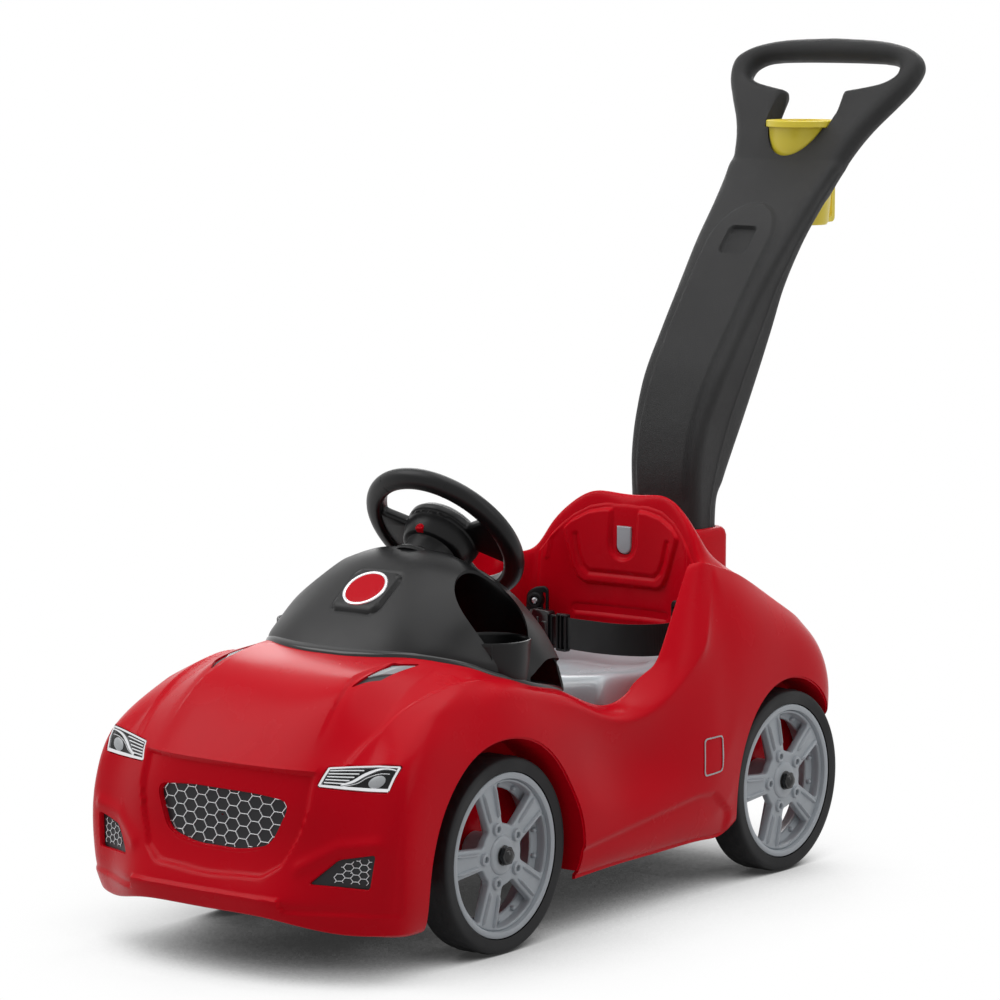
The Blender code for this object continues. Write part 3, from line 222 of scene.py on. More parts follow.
def merged(*meshes):
    work = bmesh.new()
    for mesh in meshes:
        work.from_mesh(mesh)
    return written(work, bpy.data.meshes.new("merged"))


def moved(mesh, matrix):
    made = mesh.copy()
    made.transform(matrix)
    if matrix.determinant() < 0:
        made.flip_normals()
    return made


def piece(name, mesh, look, replaces=(), angle=40, matrix=None, body="chassis"):
    """A finished piece of the car, in place, riding on its body."""
    if matrix is not None:
        mesh = moved(mesh, matrix)
    mesh.materials.clear()
    mesh.materials.append(look)
    mesh.shade_smooth()
    mesh.set_sharp_from_angle(angle=math.radians(angle))
    made = bpy.data.objects.new(name, mesh)
    scene.collection.objects.link(made)
    made.location = (0, FRONT_AXLE_Y, 0)
    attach(made, body)
    if replaces:
        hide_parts(*replaces)
    return made


def grid_mesh(name, rows, closed_rows=False, closed_columns=False):
    """Rows of equal length joined into quads."""
    rows = [list(row) for row in rows]
    count = len(rows[0])
    points = [p for row in rows for p in row]
    faces = []
    for i in range(len(rows) if closed_rows else len(rows) - 1):
        for j in range(count if closed_columns else count - 1):
            a, b = i * count + j, i * count + (j + 1) % count
            c, d = (i + 1) % len(rows) * count + (j + 1) % count, (i + 1) % len(rows) * count + j
            faces.append((a, b, c, d))
    return mesh_of(name, points, faces)


def loft(name, rings):
    mesh = grid_mesh(name, rings, closed_columns=True)
    work = bmesh_of(mesh)
    work.verts.ensure_lookup_table()
    count = len(rings[0])
    for first in (0, (len(rings) - 1) * count):
        work.faces.new([work.verts[first + i] for i in range(count)])
    return tidy(written(work, mesh))


def box(low, high, bevel=0.0, segments=3):
    low, high = Vector(low), Vector(high)
    work = bmesh.new()
    bmesh.ops.create_cube(work, size=1)
    bmesh.ops.scale(work, vec=high - low, verts=work.verts)
    bmesh.ops.translate(work, vec=(high + low) / 2, verts=work.verts)
    if bevel:
        bmesh.ops.bevel(work, geom=work.edges[:], offset=bevel, segments=segments, profile=0.5, affect="EDGES")
    return written(work, bpy.data.meshes.new("box"))


def aim(direction):
    return Vector((0, 0, 1)).rotation_difference(Vector(direction)).to_matrix().to_4x4()


def polar(radius, angle):
    return (radius * math.cos(angle), radius * math.sin(angle))


def turned(profile, steps, looped=False):
    """A profile of (radius, height) points turned about Z."""
    rows = [[(*polar(r, TAU * k / steps), z) for k in range(steps)] for r, z in profile]
    return tidy(grid_mesh("turned", rows, closed_rows=looped, closed_columns=True))


def cylinder(radius, start, end, sides, bevel=0.0):
    start, end = Vector(start), Vector(end)
    length = (end - start).length
    profile = [(0, 0), (radius, 0), (radius, length), (0, length)]
    if bevel:
        profile = [(0, 0), (radius - bevel, 0), (radius - bevel * 0.3, bevel * 0.3), (radius, bevel),
            (radius, length - bevel),
                   (radius - bevel * 0.3, length - bevel * 0.3), (radius - bevel, length), (0, length)]
    return moved(turned(profile, sides), Matrix.Translation(start) @ aim(end - start))


# Body
# The cage of the left half: stations from nose to tail, each 12 places from the sill over the top to the floor
STATIONS = mm([
    [(0, -234, 66), (0, -262, 70), (0, -268, 92), (0, -247, 135), (0, -240, 180), (0, -232, 216),
     (0, -152, 284), (0, -75, 305), (0, -12, 310), (0, 12, 230), (0, 32, 80), (0, 60, 74)],
    [(68, -232, 66), (68, -261, 70), (70, -267, 92), (72, -245, 135), (74, -237, 180), (74, -228, 216),
     (70, -150, 286), (68, -69, 305), (60, -8, 310), (56, 14, 230), (52, 34, 80), (0, 75, 74)],
    [(110, -222, 60), (112, -250, 64), (114, -257, 88), (118, -238, 135), (120, -227, 180), (118, -215, 216),
     (104, -138, 288), (104, -57, 304), (92, 4, 308), (88, 20, 230), (84, 40, 80), (0, 90, 74)],
    [(152, -202, 52), (157, -225, 56), (163, -228, 85), (168, -220, 135), (168, -208, 180), (162, -194, 222),
     (140, -126, 274), (128, -46, 297), (110, 16, 302), (106, 32, 225), (100, 50, 80), (0, 105, 74)],
    [(186, -182, 50), (196, -198, 56), (203, -204, 85), (206, -204, 135), (204, -196, 180), (194, -177, 226),
     (172, -116, 268), (156, -36, 290), (120, 32, 294), (116, 48, 220), (110, 62, 80), (0, 120, 74)],
    [(192, -148, 50), (201, -156, 56), (210, -160, 85), (212, -160, 135), (210, -154, 180), (203, -138, 228),
     (184, -90, 267), (166, -24, 285), (126, 50, 288), (121, 62, 215), (116, 74, 80), (0, 135, 74)],
    [(193, -85, 55), (202, -85, 60), (209, -85, 90), (211, -85, 135), (209, -82, 182), (203, -76, 226),
     (188, -48, 264), (170, -2, 282), (130, 68, 280), (124, 78, 210), (120, 88, 80), (0, 150, 74)],
    [(191, 0, 55), (200, 0, 60), (206, 0, 90), (208, 0, 135), (206, 0, 186), (203, 0, 232),
     (191, 4, 263), (174, 30, 278), (133, 88, 271), (127, 96, 205), (123, 104, 80), (0, 165, 74)],
    [(188, 75, 58), (197, 75, 63), (203, 75, 90), (203, 75, 135), (200, 75, 180), (198, 75, 222),
     (190, 75, 252), (175, 80, 267), (137, 110, 259), (131, 116, 195), (126, 122, 80), (0, 180, 74)],
    [(188, 130, 60), (196, 130, 65), (203, 130, 90), (202, 130, 135), (195, 130, 175), (193, 130, 210),
     (189, 130, 240), (175, 133, 252), (142, 140, 253), (137, 146, 175), (132, 150, 80), (0, 200, 74)],
    [(187, 200, 62), (196, 200, 67), (203, 200, 88), (199, 200, 125), (188, 200, 165), (188, 200, 196),
     (190, 200, 218), (178, 200, 228), (156, 200, 228), (149, 202, 160), (140, 204, 80), (0, 222, 74)],
    [(186, 280, 62), (195, 280, 67), (202, 280, 90), (201, 280, 128), (194, 280, 165), (194, 280, 202),
     (194, 276, 228), (180, 268, 238), (159, 255, 238), (152, 254, 165), (142, 255, 84), (0, 255, 76)],
    [(184, 360, 62), (193, 360, 67), (200, 360, 90), (203, 360, 130), (202, 362, 185), (197, 366, 236),
     (190, 362, 280), (182, 334, 278), (166, 303, 269), (156, 300, 227), (140, 285, 205), (0, 285, 205)],
    [(182, 412, 66), (191, 412, 72), (198, 415, 120), (200, 418, 190), (192, 420, 260), (177, 420, 314),
     (159, 420, 357), (155, 402, 364), (147, 386, 358), (146, 372, 235), (138, 365, 205), (0, 335, 205)],
    [(184, 475, 100), (192, 475, 108), (195, 475, 152), (196, 475, 202), (190, 475, 268), (176, 475, 312),
     (158, 475, 343), (152, 455, 350), (147, 432, 350), (142, 422, 314), (134, 420, 207), (0, 385, 205)],
    [(184, 535, 110), (189, 535, 120), (193, 535, 160), (193, 535, 202), (188, 535, 254), (176, 535, 290),
     (159, 535, 312), (132, 510, 338), (126, 470, 344), (120, 450, 334), (122, 438, 209), (0, 425, 205)],
    [(179, 591, 150), (186, 599, 156), (189, 605, 172), (189, 605, 202), (185, 600, 236), (176, 591, 264),
     (160, 585, 286), (112, 518, 342), (106, 480, 372), (100, 460, 360), (102, 448, 211), (0, 454, 207)],
    [(152, 615, 146), (158, 630, 152), (162, 638, 170), (163, 640, 202), (160, 635, 232), (152, 625, 258),
     (135, 613, 276), (84, 522, 345), (78, 488, 396), (73, 470, 384), (75, 460, 213), (0, 466, 215)],
    [(85, 625, 140), (88, 642, 146), (90, 652, 166), (92, 655, 200), (92, 652, 230), (90, 640, 256),
     (80, 620, 278), (48, 524, 345), (45, 492, 410), (42, 476, 398), (42, 468, 217), (0, 469, 265)],
    [(0, 628, 140), (0, 645, 146), (0, 655, 166), (0, 658, 200), (0, 655, 230), (0, 643, 256),
     (0, 622, 278), (0, 524, 345), (0, 494, 416), (0, 478, 402), (0, 474, 356), (0, 472, 306)],
])

# Sharp lines of the cage: (first station, last station, first level, last level, sharpness)
CREASES = [
    (0, 4, 5, 5, 1.0), (2, 2, 5, 7, 0.50), (3, 3, 5, 8, 0.90), (4, 9, 6, 6, 0.60), (0, 5, 1, 1, 0.60),
    (0, 4, 2, 2, 0.40), (8, 13, 3, 3, 0.40), (9, 11, 6, 6, 0.40), (11, 13, 6, 6, 0.90), (0, 11, 8, 8, 0.30),
    (11, 14, 8, 8, 0.85), (14, 19, 8, 8, 0.30), (12, 12, 6, 8, 0.45), (13, 18, 6, 6, 0.60), (14, 18, 2, 2, 0.40),
    (12, 13, 2, 2, 0.50), (0, 4, 3, 3, 0.20), (13, 13, 5, 8, 0.75),
]


def cage_mesh(cage):
    work = bmesh.new()
    crease = work.edges.layers.float.new("crease_edge")
    grid = [[work.verts.new(point) for point in station] for station in cage]
    for near, far in zip(grid, grid[1:]):
        for i in range(len(near) - 1):
            work.faces.new((near[i], far[i], far[i + 1], near[i + 1]))
    for first, last, low, high, sharpness in CREASES:
        for i in range(first, last + 1):
            for j in range(low, high + 1):
                a, b = (i + 1, j) if low == high else (i, j + 1)
                if a <= last and b <= high:
                    work.edges.get((grid[i][j], grid[a][b]))[crease] = sharpness
    return written(work, bpy.data.meshes.new("cage"))


MIRROR = ("MIRROR", {"use_clip": True, "merge_threshold": 0.0001})


def fitted_cage():
    """The control points moved until the smoothed surface runs through the places given for it."""
    target = np.array(STATIONS, float)
    cage = target.copy()
    flat = target.reshape(-1, 3)
    for _ in range(5):
        smooth = modified(cage_mesh(cage), MIRROR, subsurf(1))
        step = flat - points_of(smooth)[:len(flat)]
        step[flat[:, 0] < 0.0005, 0] = 0
        cage += 0.9 * step.reshape(cage.shape)
    return cage


def distance_to(points, path):
    """The distance of each point to a path of 3-D points."""
    nearest = np.full(len(points), 1e9)
    for a, b in zip(np.array(path[:-1], float), np.array(path[1:], float)):
        along = b - a
        t = np.clip(((points - a) @ along) / max(along @ along, 1e-12), 0, 1)
        nearest = np.minimum(nearest, np.linalg.norm(points - a - t[:, None] * along, axis=1))
    return nearest


def smooth_step(value, low, high):
    t = np.clip((value - low) / (high - low), 0, 1)
    return t * t * (3 - 2 * t)


# Fine forms of the body's surface, each a rise or a fall along its normals
FENDER_LINE = mm([(-240, 128), (-215, 133.5), (-198, 139.5), (-152, 149.9), (-100, 156), (-40, 160), (80, 164)])
HOOD_LINE = mm([(-230, 104), (-160, 94.5), (-126, 87.5), (-47, 100), (20, 112)])
ROCKER_LINE = mm([(40, 80), (60, 83), (125, 92.5), (230, 104.5), (335, 116), (365, 114), (385, 100), (410, 83)])


def along_line(line, value):
    return np.interp(value, [p[0] for p in line], [p[1] for p in line])


def relieved(mesh):
    """The surface with its fine forms raised or sunk along its normals."""
    places, normals = points_of(mesh), normals_of(mesh)
    x, y, z = np.abs(places[:, 0]), places[:, 1], places[:, 2]
    up, ahead, out = normals[:, 2], -normals[:, 1], np.abs(normals[:, 0])
    lift = np.zeros(len(places))
    on_top = smooth_step(up, 0.30, 0.45) * (z > 0.20) * (y < 0.10)
    gap = x - along_line(FENDER_LINE, y)
    ends = smooth_step(y, -0.225, -0.200) * (1 - smooth_step(y, 0.02, 0.07))
    lift += 0.0030 * on_top * ends * smooth_step(gap, -0.0010, 0.0022) * np.exp(-np.maximum(gap, 0) / 0.022)
    gap = along_line(HOOD_LINE, y) - x
    ends = smooth_step(y, -0.205, -0.150) * (1 - smooth_step(y, -0.07, -0.03))
    lift += 0.0026 * on_top * ends * smooth_step(gap, -0.0010, 0.0022) * np.exp(-np.maximum(gap, 0) / 0.024)
    gap = along_line(ROCKER_LINE, y) - z
    low = smooth_step(out, 0.35, 0.6) * (x > 0.15) * smooth_step(y, 0.045, 0.075) * (1 - smooth_step(y, 0.395, 0.41))
    lift += low * (0.0022 * np.exp(-(np.maximum(-gap, 0) / 0.007) ** 2) - 0.0052) * smooth_step(gap, -0.0040, 0.0020)
    # the nose: a bay round the grille, brows over the fog grilles and a lip along the bottom
    nose = smooth_step(ahead, 0.25, 0.5) * (y < -0.12)
    low_bay = along_line(mm([(0, 104), (70, 108), (90, 120), (105, 150), (118, 196)]), x)
    bay = along_line([station[5][::2] for station in STATIONS[:5]], x) - z
    inner = smooth_step(z - low_bay, 0.0, 0.006) * smooth_step(bay, 0.0003, 0.0045)
    lift += -0.0045 * nose * (inner * (1 - smooth_step(x, 0.108, 0.115)))
    brow = distance_to(np.stack([x, 0 * x, z], 1), mm([(112, 0, 122), (148, 0, 143.5), (186, 0, 149)]))
    lift += 0.0026 * nose * np.exp(-(brow / 0.0065) ** 2) * (x > 0.09)
    edge = np.where(x < 0.1005, 0.0880, 0.0745)
    above = smooth_step(z, edge, edge + 0.005) * (1 - smooth_step(z, 0.090, 0.200))
    lift += -0.0036 * nose * above * (1 - 0.4 * smooth_step(x, 0.15, 0.19))
    return placed(mesh, places + normals * lift[:, None])


def mapped(mesh, shape):
    """Every point moved by a function of its place."""
    return placed(mesh, np.array([shape(*p) for p in points_of(mesh)], float))


cage = fitted_cage()
sheet = relieved(modified(cage_mesh(cage), MIRROR, subsurf(4)))
surface = tree_of(sheet)


def on_skin(point):
    """The nearest place on the body's surface and the outward normal there."""
    place, normal, _, _ = surface.find_nearest(Vector(point))
    if normal.dot(Vector(point) - Vector((0, 0.15, 0.15))) < 0 and point[1] < 0.38:
        normal = -normal
    return place, normal


def dropped(point, normal):
    """Where a line along a normal meets the body's surface."""
    for way in (1, -1):
        hit, _, _, reach = surface.ray_cast(point + normal * 0.03 * way, -normal * way)
        if hit and reach < 0.06:
            return hit
    return on_skin(point)[0]


def smooth_outline(corners, radius, step=0.0025):
    """A closed outline through corners, each rounded by the radius, in even steps."""
    points = [Vector(corner) for corner in corners]
    path = []
    for i, corner in enumerate(points):
        before, after = points[i - 1] - corner, points[(i + 1) % len(points)] - corner
        reach = min(radius, before.length * 0.45, after.length * 0.45)
        a, b = corner + before.normalized() * reach, corner + after.normalized() * reach
        for k in range(7):
            t = k / 6
            path.append(a * (1 - t) ** 2 + corner * 2 * t * (1 - t) + b * t * t)
    dense = []
    for near, far in zip(path, path[1:] + path[:1]):
        count = max(1, round((far - near).length / step))
        dense += [near.lerp(far, k / count) for k in range(count)]
    return dense


def flat_frame(outline):
    centre = sum(outline, Vector()) / len(outline)
    normal = Vector()
    for near, far in zip(outline, outline[1:] + outline[:1]):
        normal += (near - centre).cross(far - centre)
    return centre, normal.normalized()


def grown(outline, amount):
    centre, normal = flat_frame(outline)
    flat = [p - normal * (p - centre).dot(normal) for p in outline]
    moved_out = []
    for i, p in enumerate(flat):
        along = (flat[(i + 1) % len(flat)] - flat[i - 1]).normalized()
        moved_out.append(p + along.cross(normal) * amount)
    return moved_out


def prism(ring, start, end):
    """A closed prism between two shifted copies of an outline."""
    return loft("prism", [[p + start for p in ring], [p + end for p in ring]])


def recess(outline, profile):
    """A rim swept round an opening. The profile is (distance out from the outline, height over the skin)."""
    centre, normal = flat_frame(outline)
    if normal.dot(centre - Vector((0, 0.10, 0.10))) < 0:
        normal = -normal
    rows = []
    turn = 1 if (outline[1] - outline[0]).cross(outline[2] - outline[0]).dot(normal) >= 0 else -1
    for i, p in enumerate(outline):
        along = turn * (outline[(i + 1) % len(outline)] - outline[i - 1]).normalized()
        out = along.cross(normal).normalized()
        rows.append([dropped(p + out * reach, normal) + normal * height for reach, height in profile])
    return tidy(grid_mesh("recess", rows, closed_rows=True, closed_columns=True))


GRILLE = mm([
    (89, -230, 182.8), (68.4, -237.5, 138.5), (30, -240, 130), (-30, -240, 130), (-68.4, -237.5, 138.5),
    (-89, -230, 182.8), (-45, -231, 187.2), (45, -231, 187.2),
])
FOG = mm([(123.2, -242.4, 106.2), (147.5, -225.8, 131), (185.3, -213.3, 138.5), (180.8, -216.9, 103.4)])
LAMP = mm([(116.8, -221.6, 201.6), (121.8, -209.5, 220.6), (193.8, -178.7, 225.1), (189.4, -197.1, 200.2)])
POCKET_X, POCKET_Y = 0.120, 0.064
VENT = mm([(95, -137.6, 289.6), (110.3, -110.6, 295), (111, -48.1, 303.8), (95.4, -70, 305.1)])


SIDES = ((1, "left"), (-1, "right"))
lines = {"grille": smooth_outline(GRILLE, 0.014)}
for side, label in SIDES:
    for shape, name, radius in ((FOG, "fog_grille_", 0.004), (LAMP, "headlight_", 0.004), (VENT, "hood_vent_", 0.002)):
        lines[name + label] = smooth_outline([(side * x, y, z) for x, y, z in shape[::side]], radius)

# The shell: the surface thickened inwards, with the openings, arches, cup wells and the latch's hole cut through it.
# Its creased faces meet too closely for the exact solver.
OPENING_REACH = 0.022
shell = modified(sheet.copy(), ("SOLIDIFY", {"thickness": SKIN, "offset": -1, "use_even_offset": False}))
openings = []
for name, line in lines.items():
    reach = flat_frame(line)[1] * OPENING_REACH
    openings.append(prism(grown(line, 0.0012 if "grille" in name else 0.0008), -reach, reach))
latch_hole = smooth_outline(mm([
    (10.6, 470, 386.5), (-10.6, 470, 386.5), (-10.6, 470, 353.5), (10.6, 470, 353.5),
]), 0.0095)
latch_cut = prism(latch_hole, Vector((0, -0.03, 0)), Vector((0, 0.036, 0)))
cutters = [merged(*openings)]
for y, z, radius in (FRONT_ARCH, REAR_ARCH):
    cutters += [cylinder(radius, (side * ARCH_INNER_X, y, z), (side * 0.26, y, z), 120) for side in (-1, 1)]
wells = [cylinder(0.0430, (side * POCKET_X, POCKET_Y, 0.262), (side * POCKET_X, POCKET_Y, 0.42), 64)
    for side in (-1, 1)]
cutters.append(merged(*wells, latch_cut))
for cutter in cutters:
    shell = carved(shell, cutter, "MANIFOLD")


def rounded_ring(half, front, back, z, radius, steps=8):
    ring = []
    for cx, cy, start in ((half - radius, back - radius, 0), (radius - half, back - radius, 90),
                          (radius - half, front + radius, 180), (half - radius, front + radius, 270)):
        for step in range(steps + 1):
            angle = math.radians(start + 90 * step / steps)
            ring.append((cx + radius * math.cos(angle), cy + radius * math.sin(angle), z))
    return ring


socket_rings = [rounded_ring(0.0555, 0.5345, 0.6080, 0.200, 0.012)]
socket_rings += [rounded_ring(0.0555 - inset, 0.5345 + inset, 0.6080 - inset, z, 0.012 - inset * 0.4)
                 for z, inset in ((0.368, 0), (0.3735, 0.0014), (0.3768, 0.0040), (0.378, 0.0068))]
socket = loft("socket", socket_rings)
socket = carved(socket, loft("pocket", [rounded_ring(0.0483, 0.5462, 0.5988, z, 0.0145) for z in (0.204, 0.43)]))
socket = carved(socket, box((-0.0062, 0.528, 0.3336), (0.0062, 0.550, 0.3464)))
supports = [box((-0.136, 0.012, 0.090), (0.136, 0.0305, 0.118), 0.003),
            box((-0.136, 0.452, 0.188), (0.136, 0.522, 0.2025), 0.003)]
for side in (-1, 1):
    supports.append(box((side * 0.124 - 0.012, 0.496, 0.094), (side * 0.124 + 0.012, 0.521, 0.200), 0.003))
    for y in (0, WHEELBASE):
        supports.append(cylinder(0.016, (side * 0.112, y, TYRE_RADIUS), (side * 0.138, y, TYRE_RADIUS), 48, 0.002))


def arch_liner(reach, height, radius, side, start, end):
    """The wheel well behind an arch: a band that follows the arch and a wall inside it."""
    rows, wall = [], []
    for k in range(49):
        angle = math.radians(start + (end - start) * k / 48)
        y, z = reach + (radius + 0.001) * math.cos(angle), height + (radius + 0.001) * math.sin(angle)
        hit = surface.ray_cast(Vector((side * 0.3, y, z)), Vector((-side, 0, 0)))[0]
        outer = abs(hit.x) - 0.0015 if hit else 0.150
        rows.append([(side * (ARCH_INNER_X + (outer - ARCH_INNER_X) * t), y, z) for t in (0, 0.25, 0.5, 0.75, 1)])
        floor = max(0.085, height - 0.02)
        half_way = (side * ARCH_INNER_X, reach + (y - reach) * 0.5, max(floor, height + (z - height) * 0.5))
        wall.append([(side * ARCH_INNER_X, y, z), half_way, (side * ARCH_INNER_X, reach, floor)])
    band = modified(grid_mesh("band", rows), ("SOLIDIFY", {"thickness": 0.003, "offset": 1 if side > 0 else -1}))
    return merged(band, modified(grid_mesh("wall", wall), ("SOLIDIFY", {"thickness": 0.003, "offset": 0})))


bores = [cylinder(0.0053, (-0.15, y, TYRE_RADIUS), (0.15, y, TYRE_RADIUS), 32) for y in (0, WHEELBASE)]
piece("body_surface", shell, RED, ["body_shell"], angle=38)
piece("handle_socket", socket, RED, angle=50)
piece("bearing_supports", carved(merged(*supports), merged(*bores)), RED, angle=50)
for side, label in SIDES:
    piece("front_well_" + label, arch_liner(*FRONT_ARCH, side, -10, 190), RED)
    piece("rear_well_" + label, arch_liner(*REAR_ARCH, side, -8, 198), RED)
RIM_PROFILE = mm([(2.6, -1.2), (2.2, 0.1), (1.2, -0.1), (0.4, -1.2), (0, -5), (1.4, -6)])
GRILLE_RIM = mm([(4.6, -1.2), (4.2, 0.1), (2.4, -0.6), (0.6, -3), (-0.2, -7), (1.4, -7.8)])
rims = [recess(line, GRILLE_RIM if name == "grille" else RIM_PROFILE)
        for name, line in lines.items() if "vent" not in name]
piece("opening_rims", merged(*rims), RED, angle=60)


# Moulded front of the seat back
def seat_back_front():
    """A fine skin over the seat back, with its panels and grooves."""
    across, rise = 201, 141
    xs = np.linspace(-0.112, 0.112, across)
    top = along_line(mm([(0, 414), (30, 412.5), (50, 408.5), (70, 398), (85, 385), (95, 374), (112, 350)]), np.abs(xs))
    grid = np.zeros((rise, across, 3))
    for j in range(rise):
        for i in range(across):
            z = 0.262 + (top[i] - 0.262) * j / (rise - 1)
            hit = surface.ray_cast(Vector((xs[i], 0.30, z)), Vector((0, 1, 0)))[0]
            grid[j, i] = (xs[i], hit.y if hit else 0.47, z)
    depth = grid[:, :, 1].copy()
    for _ in range(6):
        inner = (depth[1:-1, :-2] + depth[1:-1, 2:] + depth[:-2, 1:-1] + depth[2:, 1:-1]) / 4
        depth[1:-1, 1:-1] = 0.4 * depth[1:-1, 1:-1] + 0.6 * inner
    x, z = np.abs(grid[:, :, 0]), grid[:, :, 2]
    flat = np.stack([x.ravel(), 0 * x.ravel(), z.ravel()], 1)

    def near(path):
        return distance_to(flat, [(a, 0, b) for a, b in path]).reshape(x.shape)
    side = along_line(mm([(318, 50), (324, 60), (335, 66), (350, 71), (380, 80), (400, 86)]), z)
    crown = along_line(mm([(0, 406.5), (30, 405), (50, 400.5), (70, 390), (86, 374)]), x)
    bib = smooth_step(side - x, -0.002, 0.003) * smooth_step(z, 0.316, 0.321)
    bib *= 1 - smooth_step(z, crown - 0.004, crown + 0.001)
    arch = np.sqrt(x ** 2 + np.minimum(z - 0.3665, 0) ** 2)
    channel = 1 - smooth_step(arch, 0.0165, 0.0215)
    form = 0.0042 * bib * (1 - channel)
    groove = near(mm([(0, 330.5), (46, 330.5), (54, 337), (59.5, 350), (64, 372)]))
    form += -0.0026 * np.exp(-(groove / 0.0030) ** 2)
    low, lowest = near(mm([(0, 288), (63, 288)])), near(mm([(0, 279.5), (60, 279.5)]))
    form += -0.0036 * np.exp(-(low / 0.0040) ** 2) + 0.0010 * np.exp(-(lowest / 0.0030) ** 2)
    rim = near(mm([(22, 411), (50, 406.5), (70, 397), (86.5, 383.5), (96.5, 366), (99, 345)]))
    form += 0.0016 * np.exp(-(rim / 0.0026) ** 2)
    border = np.minimum(0.112 - x, np.minimum(z - 0.262, (np.broadcast_to(top, z.shape) - z)))
    blend = smooth_step(border, 0.0, 0.007)
    grid[:, :, 1] = depth + 0.0014 * (1 - blend) - blend * (0.0006 + form)
    skin_mesh = modified(grid_mesh("seat_back", grid), ("SOLIDIFY", {"thickness": 0.0012, "offset": 0}))
    return carved(skin_mesh, latch_cut)


piece("seat_back_front", seat_back_front(), RED, angle=60)


# Lamps, grille and vents
def quad_place(corners, u, v, height):
    """A place in a four-cornered opening: u from its inner to its outer end, v from its lower to its upper side."""
    a, b, c, d = corners = [Vector(corner) for corner in corners]
    _, normal = flat_frame(corners)
    if normal.y > 0 and abs(normal.y) > abs(normal.z) or normal.z < 0 and abs(normal.z) >= abs(normal.y):
        normal = -normal
    return dropped(a.lerp(d, u).lerp(b.lerp(c, u), v), normal) + normal * height


def quad_patch(corners, low, high, u_span=(0.01, 0.99), v_span=(0.02, 0.98), steps=(14, 6)):
    """A plate that fills part of the opening, from one height over the skin to another."""
    us = [u_span[0] + (u_span[1] - u_span[0]) * i / steps[0] for i in range(steps[0] + 1)]

    def row(v, height):
        return [quad_place(corners, u, v, height) for u in us]
    rows = [row(v_span[0], low)]
    rows += [row(v_span[0] + (v_span[1] - v_span[0]) * j / steps[1], high) for j in range(steps[1] + 1)]
    rows.append(row(v_span[1], low))
    return tidy(grid_mesh("patch", rows))


def quad_strip(corners, path, width, high=-0.0004, low=-0.004):
    """A raised strip along a path of (u, v) points. The width, one or one for each point, is in metres."""
    centre = [quad_place(corners, u, v, high) for u, v in path]
    _, normal = flat_frame([Vector(c) for c in corners])
    rows = []
    for i, p in enumerate(centre):
        along = (centre[min(i + 1, len(centre) - 1)] - centre[max(i - 1, 0)]).normalized()
        out = along.cross(normal).normalized() * (width[i] if isinstance(width, list) else width) / 2
        base = quad_place(corners, *path[i], low)
        rows.append([base - out, p - out * 0.7, p + out * 0.7, base + out])
    return tidy(grid_mesh("strip", rows, closed_columns=True))


def arc_path(points, steps=8):
    """A smooth path through (u, v) points."""
    dense = []
    padded = [points[0]] + list(points) + [points[-1]]
    for i in range(len(points) - 1):
        p0, p1, p2, p3 = (np.array(padded[i + k], float) for k in range(4))
        for k in range(steps):
            t = k / steps
            dense.append(tuple(0.5 * (2 * p1 + (p2 - p0) * t + (2 * p0 - 5 * p1 + 4 * p2 - p3) * t * t
                                      + (3 * p1 - p0 - 3 * p2 + p3) * t ** 3)))
    return dense + [tuple(points[-1])]


for side, label in SIDES:
    corners = [(side * x, y, z) for x, y, z in LAMP]
    base = quad_patch(corners, -0.0060, -0.0024)
    swell = [0.0018 + 0.0026 * math.sin(math.pi * min(1, k / 30)) for k in range(41)]
    swoosh = arc_path([(0.30, 0.18), (0.44, 0.36), (0.55, 0.62), (0.68, 0.80), (0.84, 0.84), (0.96, 0.80)])
    under = arc_path([(0.33, 0.14), (0.50, 0.30), (0.60, 0.52), (0.74, 0.66), (0.90, 0.66)])
    bars = [
        ([(0.02, 0.08), (0.35, 0.08), (0.70, 0.08), (0.985, 0.08)], [0.0034, 0.0042, 0.0048, 0.0048]),
        ([(0.02, 0.06), (0.025, 0.50), (0.03, 0.95)], 0.0034),
        ([(0.03, 0.94), (0.35, 0.95), (0.70, 0.95), (0.98, 0.94)], 0.0026),
        ([(0.985, 0.08), (0.98, 0.50), (0.975, 0.94)], 0.0034), (swoosh, swell), (under, 0.0008, -0.0010),
    ]
    for k in range(5):
        v = 0.25 + 0.14 * k
        bars.append(([(0.06, v), (0.22, v + 0.005), (0.34 + 0.045 * k, v + 0.01)], 0.0016, -0.0008))
    chrome = [quad_strip(corners, *bar) for bar in bars]
    piece("headlight_base_" + label, base, LENS, ["headlight_" + label])
    piece("headlight_chrome_" + label, merged(*chrome), SILVER, angle=60)
    # the lens: a low dome coloured light grey, a painted highlight on the dark lamp
    lens_rows = []
    for r in (1.0, 0.9, 0.6, 0.3, 0.02):
        height = -0.0022 + 0.0016 * math.sqrt(1 - r * r * 0.98)
        round_it = [(0.765 + 0.115 * r * math.cos(TAU * k / 28), 0.385 + 0.235 * r * math.sin(TAU * k / 28))
            for k in range(28)]
        lens_rows.append([quad_place(corners, u, v, height) for u, v in round_it])
    piece("headlight_lens_" + label, tidy(grid_mesh("lens", lens_rows, closed_columns=True)), BLANK)


def inside(point, polygon):
    x, y = point
    odd = False
    for (x1, y1), (x2, y2) in zip(polygon, polygon[1:] + polygon[:1]):
        if (y1 > y) != (y2 > y) and x < (x2 - x1) * (y - y1) / (y2 - y1) + x1:
            odd = not odd
    return odd


def front_place(x, z, depth):
    """The body's surface straight ahead of a place on the nose, sunk by a depth."""
    hit = surface.ray_cast(Vector((x, -0.6, z)), Vector((0, 1, 0)))[0]
    return (hit or Vector((x, -0.24, z))) + Vector((0, depth, 0))


